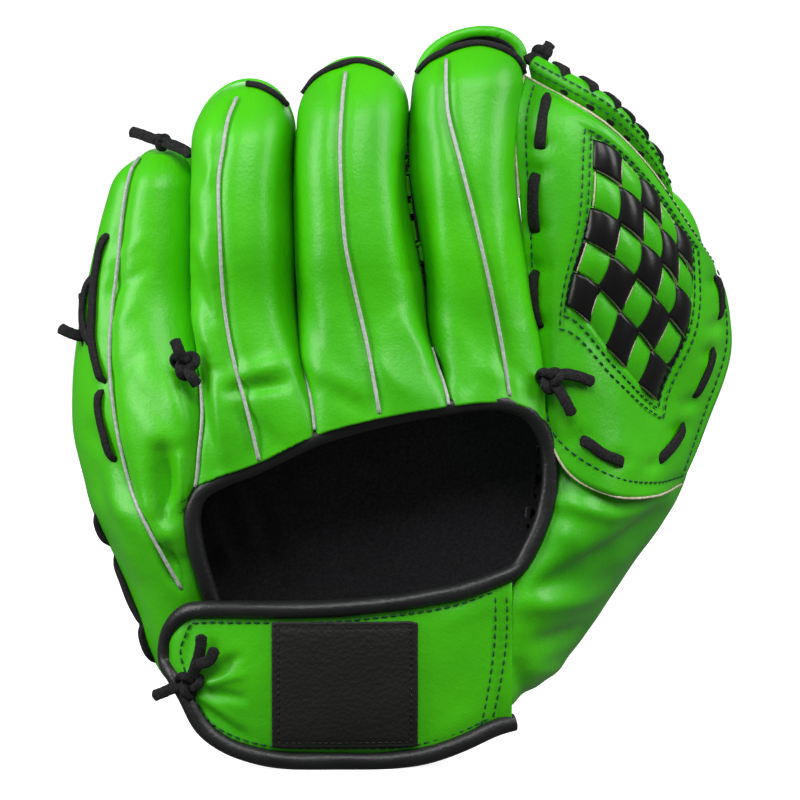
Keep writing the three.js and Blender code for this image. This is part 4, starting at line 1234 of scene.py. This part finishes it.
wound = [wound_place(i) for i in range(WRAPS.turns * WRAPS.steps + 1)]
wound_ways = [(band_point(s, angle, 1.0) - band_point(s, angle, 0.0)).normalized() for s, angle, _ in wound]
wound_points = [band_point(s, angle, LACE_THICK / 2 - dive) for s, angle, dive in wound]
finish_piece("wound_lace", rolled(wound_points, wound_ways, flat_section(WRAPS.width, LACE_THICK, 0.005), 10),
             [LACE], ["web_roll_lace"])

# %% [markdown]
# ## Strap
# The wrist strap is folded leather with a rounded end. Its face is grown from the same table as its
# edges: the face swells between them, and the lace that ties it down gathers it in small folds.

# %% Strap
STRAP_END = 44.0
STRAP_PUFF = SimpleNamespace(height=2.2, sunk=1.2, margin=1.5)
STRAP_FOLDS = [
    (-78, 34, -64, 44, 2.2, -1.5), (-78, 33, -62, 37, 2.0, 1.0), (-78, 30, -62, 28, 2.2, -1.6),
    (-78, 28, -64, 17, 2.2, 1.0), (-84, 40, -82, 54, 2.4, -0.8), (-76, 24, -60, 12, 2.6, -1.4),
    (-88, 30, -92, 36, 2.0, -0.7), (-80, 24, -76, 12, 2.4, -0.7), (18, 58, 34, 64, 4.0, 0.5),
    (14, 12, 30, 22, 5.0, 0.5)]


def strap_face(x, z):
    """The strap's face: swollen between its rolled edges."""
    low, high = STRAP.low(x), STRAP.high(x)
    v = clamp((z - low) / max(high - low, 1e-3))
    puff = STRAP_PUFF.height * (1 - (2 * v - 1) ** 4) - STRAP_PUFF.sunk
    return vec(x, STRAP.y(x) - puff, z)


def strap_place(u, v):
    x = mix(STRAP.start + 1.2, STRAP_END, u)
    low, high = STRAP.low(x) + STRAP_PUFF.margin, STRAP.high(x) - STRAP_PUFF.margin
    return strap_face(x, mix(low, high, v))


strap_grid = grid(110, 48, strap_place)
press(strap_grid, STRAP_FOLDS)
ripple(strap_grid, 20.0, 0.5, 8.0)
finish_piece("strap_leather", strap_grid, [GREEN_LEATHER, LINING], ["wrist_strap"],
             wall=STRAP_WALL, inside=1)

# %% [markdown]
# ## One roll of binding
# A strip of black leather is folded round a cord to make a roll. It starts behind the strap's end, runs
# up round the hand opening, down to the strap, along its upper edge, round its end and back below. Each
# point faces away from a place inside the hand opening, so the roll's seam stays hidden at its back.

# %% Binding
STRAP_X = [24, 10, -8, -26, -44, -58, -68, -77, -84, -89]
INSIDE = vec(-12, 30, 85)
upper = [vec(x, STRAP.y(x) + 0.5, STRAP.high(x)) for x in STRAP_X]
lower = [vec(x, STRAP.y(x) + 0.5, STRAP.low(x)) for x in reversed(STRAP_X)]
turn_end = [vec(-92, 9.5, 48), vec(-92, 9.5, 40)]
right_end = [vec(38, 2.0, 15), vec(45, 4.5, 16.5)]
onto_strap = [vec(46, 3.6, 77.5), vec(36, 1.6, 73)]
roll_path = line([vec(*p) for p in RIM[:-1]] + onto_strap + upper + turn_end + lower + right_end)
binding_points = spaced(roll_path, 560)
binding_faces = [(p - INSIDE).normalized() + vec(0, -0.3, 0.01) for p in binding_points]
finish_piece("rolled_binding", rolled(binding_points, binding_faces, round_section(BINDING_RADIUS, 0.09), 16),
             [BLACK_ROLL], ["opening_binding", "strap_binding"])

# %% [markdown]
# ## Patch
# A bare patch of embossed leather is sewn on the strap. A grid follows the strap's face, its corners
# are rounded by moving the outermost vertices in, and a Solidify wall gives it its cut edge.

# %% Patch
PATCH = SimpleNamespace(left=-50.0, right=7.0, low=8.5, high=58.5, thick=1.3, corner=0.75, stand=0.4)
PATCH_SEAM = SimpleNamespace(margin=0.045, width=0.012, depth=0.35)


def patch_place(u, v):
    """A place on the patch, pressed in along its seam."""
    x, z = mix(PATCH.left, PATCH.right, u), mix(PATCH.low, PATCH.high, v)
    z -= math.copysign(PATCH.corner * smooth(abs(2 * u - 1) + abs(2 * v - 1), 1.9, 2.0), v - 0.5)
    off = min(u, 1 - u, v, 1 - v) - PATCH_SEAM.margin
    pressed = PATCH_SEAM.depth * math.exp(-(off / PATCH_SEAM.width) ** 2)
    return strap_face(x, z) + vec(0, -PATCH.stand - PATCH.thick + pressed, 0)


patch_grid = grid(60, 54, patch_place)
ripple(patch_grid, 16.0, 0.25, 9.0)
finish_piece("patch", patch_grid, [BLACK_PATCH], ["strap_patch"], wall=PATCH.thick)

# %% [markdown]
# ## Piping
# Piping is a thin vinyl cord sewn between two panels. Each cord follows its seam's line on the bulging
# back of the finger, half sunk in the groove. How far across the back a place lies is found by halving
# the range again and again.

# %% Piping
SUNK = 0.9


def back_u(name, x, z):
    """How far across a back a place lies."""
    low, high = 0.02, 0.98
    for _ in range(SEARCH_STEPS):
        middle = (low + high) / 2
        if stall_point(name, "back", middle, z).x < x:
            low = middle
        else:
            high = middle
    return low


def back_line(name, rows, off):
    """Points on a back through rows of height and place across, standing off it, and their outward ways."""
    on = functools.partial(stall_point, name, "back")
    faces, points = [], []
    for z, x in rows:
        u = back_u(name, x, z)
        out = outward(on, u, z, 0.02, 1.5)
        faces.append(out)
        points.append(on(u, z) + out * off)
    return points, faces


for name, seam in PIPED.items():
    heights = [mix(seam.end, seam.start, i / 90) for i in range(91)]
    points, faces = back_line(name, [(z, seam.x(z)) for z in heights], PIPING_RADIUS * 0.5 - SUNK)
    finish_piece(f"{name}_cord", rolled(points, faces, round_section(PIPING_RADIUS, 0.08, 4.0), 10),
                 [SILVER], [f"{name}_piping"])

# %% [markdown]
# ## Piping in the creases
# Three more cords lie in the creases between the fingers, from the rim of the hand opening up to where
# the fingers part. They stand a little off the seam line, since the leather swells on both sides of it.

# %% Piping in the creases
CREASES = {"pinky_ring": (110, 152), "ring_middle": (133, 162), "middle_index": (143, 164)}
CREASE_STAND = 2.4
CREASE_STEPS = 24

for name, (low, high) in CREASES.items():
    seam = SEAMS[name]
    heights = [mix(low, high, i / CREASE_STEPS) for i in range(CREASE_STEPS + 1)]
    points = [vec(seam.x(z), seam.back(z) - CREASE_STAND, z) for z in heights]
    cord = rolled(points, [vec(0, -1, 0.2)] * len(points), round_section(PIPING_RADIUS, 0.08), 10)
    finish_piece(f"{name}_cord", cord, [SILVER], [f"{name}_piping"])

# %% [markdown]
# ## Laces of the web
# A lace is a flat strip of napped leather that is pulled through holes. Those of the web go over and
# under it, so they show as a row of long stitches. Each row of the table was placed across and up the
# mitt, and is carried over to the web's surface before the lace is drawn through it.

# %% Laces of the web
def lace_piece(name, points, faces, nodes, width, thick, count):
    """A lace through listed points, smoothed into a line."""
    at, up = line(points), line(faces)
    ways = [up(i / count) for i in range(count + 1)]
    finish_piece(name, rolled(spaced(at, count), ways, flat_section(width, thick), 12), [LACE], nodes)


WEB_LACE_LIFT = {1: WEB_WALL / 2 + LACE_THICK / 2 + 0.3, -1: -WEB_WALL / 2 - LACE_THICK / 2 - 1.3}
for name, rows in WEB_LACES.items():
    at = [(*web_at(x, z), side) for x, z, side in rows]
    lace_piece(f"{name}_strip", [web_point(u, v, WEB_LACE_LIFT[side]) for u, v, side in at],
               [web_out(u, v) for u, v, _ in at], [name], 4.6, LACE_THICK, 120)

# %% [markdown]
# ## Laces of the fingertips
# A lace lies over the seam between back and palm at each of three fingertips. Its table gives how far
# across the back it is and how far below the tip, so it follows the tip's own curve.

# %% Laces of the fingertips
TIP_LACES = {
    "ring": [(0.5, 1.5), (0.68, 2.5), (0.84, 6), (0.93, 10)],
    "middle": [(0.06, 14), (0.14, 8), (0.3, 3.5), (0.5, 1.6), (0.7, 3), (0.86, 7)],
    "index": [(0.06, 13), (0.13, 8), (0.28, 3.5), (0.5, 1.6), (0.72, 3.5), (0.87, 8), (0.94, 13)],
}
for name, rows in TIP_LACES.items():
    on = functools.partial(stall_point, name, "back")
    at = [(u, STALLS[name].back - drop) for u, drop in rows]
    faces = [outward(on, u, z, 0.03, 0.4) for u, z in at]
    lace_piece(f"{name}_tip_strip", [on(u, z) + face * 0.9 for (u, z), face in zip(at, faces)], faces,
               [f"{name}_tip_lace"], 3.6, LACE_THICK, 50)

# %% [markdown]
# ## Laces of the little finger's side
# On the outer side of the mitt a lace joins back and palm from the fingertip to the heel. Its rows give
# places across and up the mitt, and how far the lace stands off the leather: a negative one is a hole.

# %% Laces of the little finger's side
SIDE_LACES = {
    "pinky_lace": [(-116.5, 208, -1.6), (-117.5, 205, 1.0), (-120.5, 193, 1.2), (-121.8, 179, 1.2),
                   (-121.8, 165, 1.2), (-119.5, 155, 1.2), (-118.5, 151, 0.6), (-118.5, 149, -1.6),
                   (-119, 146.5, -1.6), (-119, 144, 0.8), (-119, 139, 1.2), (-116.8, 129, 1.2),
                   (-114.5, 121, 0.8), (-113.5, 117.5, -1.6)],
    "pinky_loop": [(-122.5, 191, -1.2), (-124.3, 187, 1.0), (-125.6, 181, 1.4), (-126, 175, 1.4),
                   (-125, 168.5, 1.2), (-122.5, 164, 0.6)],
    "heel_lace": [(-126, 95, -1.8), (-125, 91, 0.6), (-121, 85, 1.0), (-117, 80, -2.0),
                  (-113.5, 74, 0.8), (-110.5, 68, 1.3), (-107, 60, 1.3), (-104.5, 54, 0.4),
                  (-103.5, 51, -0.4), (-102.5, 47, 1.2), (-100, 39, 1.2), (-99, 35, -1.8)],
}


def side_place(x, z):
    """How far across the little finger's back a place is, kept just in front of its silhouette."""
    return max(back_u("pinky", x, z), 0.30 if z > 100 else 0.37)


SIDE_THICK = {"heel_lace": 2.8}
for name, rows in SIDE_LACES.items():
    on = functools.partial(stall_point, "pinky", "back")
    at = [(side_place(x, z), z) for x, z, _ in rows]
    faces = [outward(on, u, z, 0.03, 2) for u, z in at]
    points = [on(u, z) + face * up for (u, z), face, (_, _, up) in zip(at, faces, rows)]
    lace_piece(f"{name}_strip", points, faces, [name] if name != "pinky_loop" else [], 4.2,
               SIDE_THICK.get(name, LACE_THICK), 110)

# %% [markdown]
# ## Knots
# An overhand knot is a trefoil: a line that goes round twice while it crosses itself three times.
# The lace follows it, and its tails run on from the middle to the ends that stick out. Each knot has a
# middle, a size, and the points of its tails.

# %% Knots
KNOTS = {
    "strap_knot": ((-82.5, -3.2, 33), 2.5, [[(-80, -5, 40), (-78, -6.3, 47), (-77.5, -6.6, 53)],
                                            [(-88, -2, 31.5), (-93, 0.5, 29), (-97, 4, 27)],
                                            [(-79, -6.5, 41), (-74.5, -8.2, 43), (-72, -8.6, 48)]]),
    "web_knot": ((58.5, 4.5, 152), 2.3, [[(64, 5, 154), (70, 6, 153), (76, 8, 150.5)],
                                         [(62, 3.5, 148), (65, 3, 143), (67.5, 3.5, 138)]]),
    "crease_knot": ((-84, 4, 158), 2.6, [[(-86, 1, 163), (-88, 2, 168)], [(-81, 1, 153), (-79, 2, 150)]]),
    "pinky_knot": ((-124, 40, 166), 2.0, [[(-129, 37.5, 167), (-133, 37, 168.5), (-136, 38, 170)],
                                          [(-126, 42, 174), (-126.5, 43, 184)]]),
    "pinky_ring_lace": ((-95, 42, 244), 1.2, [[(-100, 44, 245.6), (-104, 46, 247), (-108, 47.5, 248)],
                                              [(-90, 38.5, 242.6), (-86, 35, 241), (-82.5, 31, 239)]]),
    "index_tip_knot": ((56.5, 41, 279), 1.5, [[(53, 40, 277.5), (50, 38, 276)],
                                              [(58.5, 42, 281), (60, 43, 283)]]),
}
KNOT_STEPS = 60


def trefoil(middle, size):
    """Points of an overhand knot round its middle, flattened towards the leather."""
    out = []
    for k in range(KNOT_STEPS + 1):
        t = 2 * math.pi * k / KNOT_STEPS
        across, up = math.sin(t) + 2 * math.sin(2 * t), math.cos(t) - 2 * math.cos(2 * t)
        out.append(Vector(middle) + size * vec(across * 0.62, -math.sin(3 * t) * 0.75, up * 0.62))
    return out


for name, (middle, size, tails) in KNOTS.items():
    loop = trefoil(middle, size)
    parts = [rolled(loop, [vec(0.3, -1, 0.2)] * len(loop), flat_section(3.6, 2.2, 0.001), 10)]
    for tail in tails:
        at = spaced(line([middle, *tail]), 24)
        parts.append(rolled(at, [vec(0.1, -1, 0.25)] * len(at), flat_section(4.6, LACE_THICK, 0.02), 12))
    stands_for = [name] if name != "index_tip_knot" else []
    finish_piece(f"{name}_loops", merged(parts), [LACE], stands_for)

# %% [markdown]
# ## Thread on the web
# The web's window is lock-stitched twice in dark green thread, its outer edge once, and the sewn band
# twice. A seam is a walk in even steps between corners given as shares of the web, lifted onto the
# puffed frame. A stitch faces the way that the web faces at the nearest point of its seam.

# %% Thread on the web
THREAD_LIFT = WEB_WALL / 2 + 0.35


def walk(corners, steps, closed=False):
    """Places at even steps from corner to corner, without the last one."""
    ends = corners[1:] + corners[:1] if closed else corners[1:]
    return [(mix(u0, u1, k / steps), mix(v0, v1, k / steps))
            for (u0, v0), (u1, v1) in zip(corners, ends) for k in range(steps)]


def facing_as(points, ways):
    """The way of the nearest point, as a function of a place."""
    return lambda place: ways[min(range(len(points)), key=lambda i: (points[i] - place).length_squared)]


def web_stitches(places):
    points = [web_point(u, v, frame_lift(u, v) + THREAD_LIFT) for u, v in places]
    return stitches(line(points), facing_as(points, [web_out(u, v) for u, v in places]))


def window_stitches(grown):
    """A closed seam round the window, which is grown by a share."""
    low, high = [0.5 + (edge - 0.5) * (1 + grown) for edge in (WEAVE.start, WEAVE.end)]
    ring = walk([(low, low), (high, low), (high, high), (low, high)], 12, closed=True)
    return web_stitches(ring + ring[:1])


def band_stitches(angle, off):
    """A seam along the sewn band, at an angle round the roll and off it."""
    shares = [mix(0.02, 0.96, k / 40) for k in range(41)]
    points = [band_point(share, angle, off) for share in shares]
    ways = [(p - band_point(share, angle, 0)).normalized() for p, share in zip(points, shares)]
    return stitches(line(points), facing_as(points, ways))


near, far = WEB_BORDER, 1 - WEB_BORDER
outer_corners = [(near, far), (near, 0.5), (near, near), (0.5, near), (far, near), (far, 0.5), (far, far)]
upper_places = [(mix(0.60, 0.96, k / 16), 0.955) for k in range(17)]
web_threads = [window_stitches(0.07), window_stitches(0.16), web_stitches(walk(outer_corners, 14)),
               web_stitches(upper_places), band_stitches(-55, 0.9), band_stitches(-14, 0.7)]
finish_piece("web_stitches", merged(web_threads), [THREAD], [])

# %% [markdown]
# ## Thread on the strap
# The strap has one line of stitches inside its roll, which turns round at the strap's left end, and two
# lines across it at its right, where it is sewn to the mitt.

# %% Thread on the strap
INSET = BINDING_RADIUS + 1.5
SEWN = vec(0, -0.1, 0)
LINE_STEPS = 39
SEAM_STEPS = 20
STRAP_SEAMS = [(32.0, 37.5), (36.0, 42.0)]


def strap_line(start, end, height):
    """Points of a stitch line on the strap, at a height for each place across."""
    across = [mix(start, end, k / LINE_STEPS) for k in range(LINE_STEPS + 1)]
    return [strap_face(x, height(x)) + SEWN for x in across]


def strap_seam(x_low, x_high):
    """A bowed seam across the strap, from its lower edge to its upper one."""
    shares = [k / SEAM_STEPS for k in range(SEAM_STEPS + 1)]
    return [strap_face(mix(x_low, x_high, math.sin(s * math.pi * 0.6)), mix(16, 68, s)) + SEWN
            for s in shares]


left_turn = [strap_face(x, z) for x, z in ((-84.5, 51), (-86, 47), (-86, 43), (-84.5, 38))]
round_strap = (strap_line(36, -82, lambda x: STRAP.high(x) - INSET) + left_turn
               + strap_line(-80, 36, lambda x: STRAP.low(x) + INSET))
strap_threads = [stitches(line(run), off_the_back) for run in
                 (round_strap, *(strap_seam(*seam) for seam in STRAP_SEAMS))]
finish_piece("strap_stitches", merged(strap_threads), [THREAD], [])

# %% [markdown]
# ## Thread on the patch
# The patch is sewn on with a finer black thread, one straight seam along each side.

# %% Thread on the patch
FINE_STITCH = SimpleNamespace(pitch=2.6, length=2.0, thick=0.32)
near, far = PATCH_SEAM.margin, 1 - PATCH_SEAM.margin
patch_corners = [(near, near), (far, near), (far, far), (near, far)]
patch_threads = []
for (u0, v0), (u1, v1) in zip(patch_corners, patch_corners[1:] + patch_corners[:1]):
    side = [patch_place(mix(u0, u1, k / 8), mix(v0, v1, k / 8)) for k in range(9)]
    patch_threads.append(stitches(line(side), off_the_back, **vars(FINE_STITCH)))
finish_piece("patch_stitches", merged(patch_threads), [BLACK_THREAD], [])

# %% [markdown]
# ## Backdrop
# The mitt stands on a white floor that curves up into a wall all round, so that it looks the same from
# every side. It glows, but only the camera sees it. If it also lit the mitt from all round, the folds
# would lose their shading.

# %% Backdrop
BOWL = SimpleNamespace(bend=500.0, flat=1700.0, run=4600.0)
BACKDROP = new_material("lit_backdrop", {"Base Color": linear("#e8e8e8"), "Roughness": 0.9,
                                         "Emission Color": linear("#ffffff"), "Emission Strength": 0.9})[0]


def bowl(u, v):
    """A floor that turns up into a wall all round the mitt."""
    run = BOWL.run * v
    angle = clamp((run - BOWL.flat) / BOWL.bend, 0, math.pi / 2)
    out = min(run, BOWL.flat) + BOWL.bend * math.sin(angle)
    up = BOWL.bend * (1 - math.cos(angle)) + max(0.0, run - BOWL.flat - BOWL.bend * math.pi / 2)
    return vec(out * math.cos(2 * math.pi * u), out * math.sin(2 * math.pi * u), up)


backdrop = new_object("backdrop", grid(48, 60, bowl), [BACKDROP])
backdrop.visible_diffuse = backdrop.visible_glossy = backdrop.visible_shadow = False
print("backdrop:", len(backdrop.data.polygons), "faces")

# %% [markdown]
# ## Light
# Two tall softboxes at the mitt's sides give the long highlights on the fingers, and a third above the
# front lights the fingers more than the strap, as in the photo. A weak one behind is for the palm. The
# plain view transform keeps the green as saturated as it is on the real leather.

# %% Light
LIT_Z = 0.14
LIGHTS = {
    "left_softbox": ((-0.9, -0.35, 0.60), 0.4, 0.8, 8.0),
    "right_softbox": ((0.9, -0.30, 0.75), 0.4, 0.8, 7.0),
    "front_top": ((0.05, -0.85, 1.05), 0.8, 0.5, 8.5),
    "palm_light": ((0.1, 1.2, 0.7), 0.8, 0.6, 5.0),
}
for name, (place, width, height, power) in LIGHTS.items():
    lamp = bpy.data.lights.new(name, "AREA")
    lamp.shape, lamp.size, lamp.size_y, lamp.energy = "RECTANGLE", width, height, power
    softbox = bpy.data.objects.new(name, lamp)
    softbox.location = place
    softbox.rotation_euler = (Vector((0, 0, LIT_Z)) - Vector(place)).to_track_quat("-Z", "Y").to_euler()
    bpy.context.collection.objects.link(softbox)
    print(f"{name}: {power} W")

world = bpy.data.worlds.new("pale_room")
bpy.context.scene.world = world
world.use_nodes = True
room = world.node_tree.nodes["Background"]
room.inputs["Color"].default_value = linear("#ffffff")
room.inputs["Strength"].default_value = 0.14
bpy.context.scene.view_settings.view_transform = "Standard"

# %% [markdown]
# ## Camera
# The camera is a metre and a half away and looks down a little at the middle of the mitt, as the photo
# does. Its lens is as long as it takes for the frame to be a little wider than the mitt.

# %% Camera
CAMERA = SimpleNamespace(distance=1.5, elevation=5.0, width=0.312, sensor=36,
                         aim=(0.0, -FOOTPRINT_Y * MM, 0.1443))
camera_data = bpy.data.cameras.new("camera")
camera_data.sensor_width = CAMERA.sensor
camera_data.lens = CAMERA.sensor * CAMERA.distance / CAMERA.width
camera = bpy.data.objects.new("camera", camera_data)
tilt = math.radians(CAMERA.elevation)
camera.location = Vector(CAMERA.aim) + CAMERA.distance * Vector((0, -math.cos(tilt), math.sin(tilt)))
camera.rotation_euler = (math.pi / 2 - tilt, 0, 0)
bpy.context.collection.objects.link(camera)
bpy.context.scene.camera = camera
print("lens:", round(camera_data.lens), "mm")

# %% [markdown]
# The leather may stand a little proud of the solids, and no more.

# %% [markdown] ## Finish Every piece is now made, named and riding on the mitt.
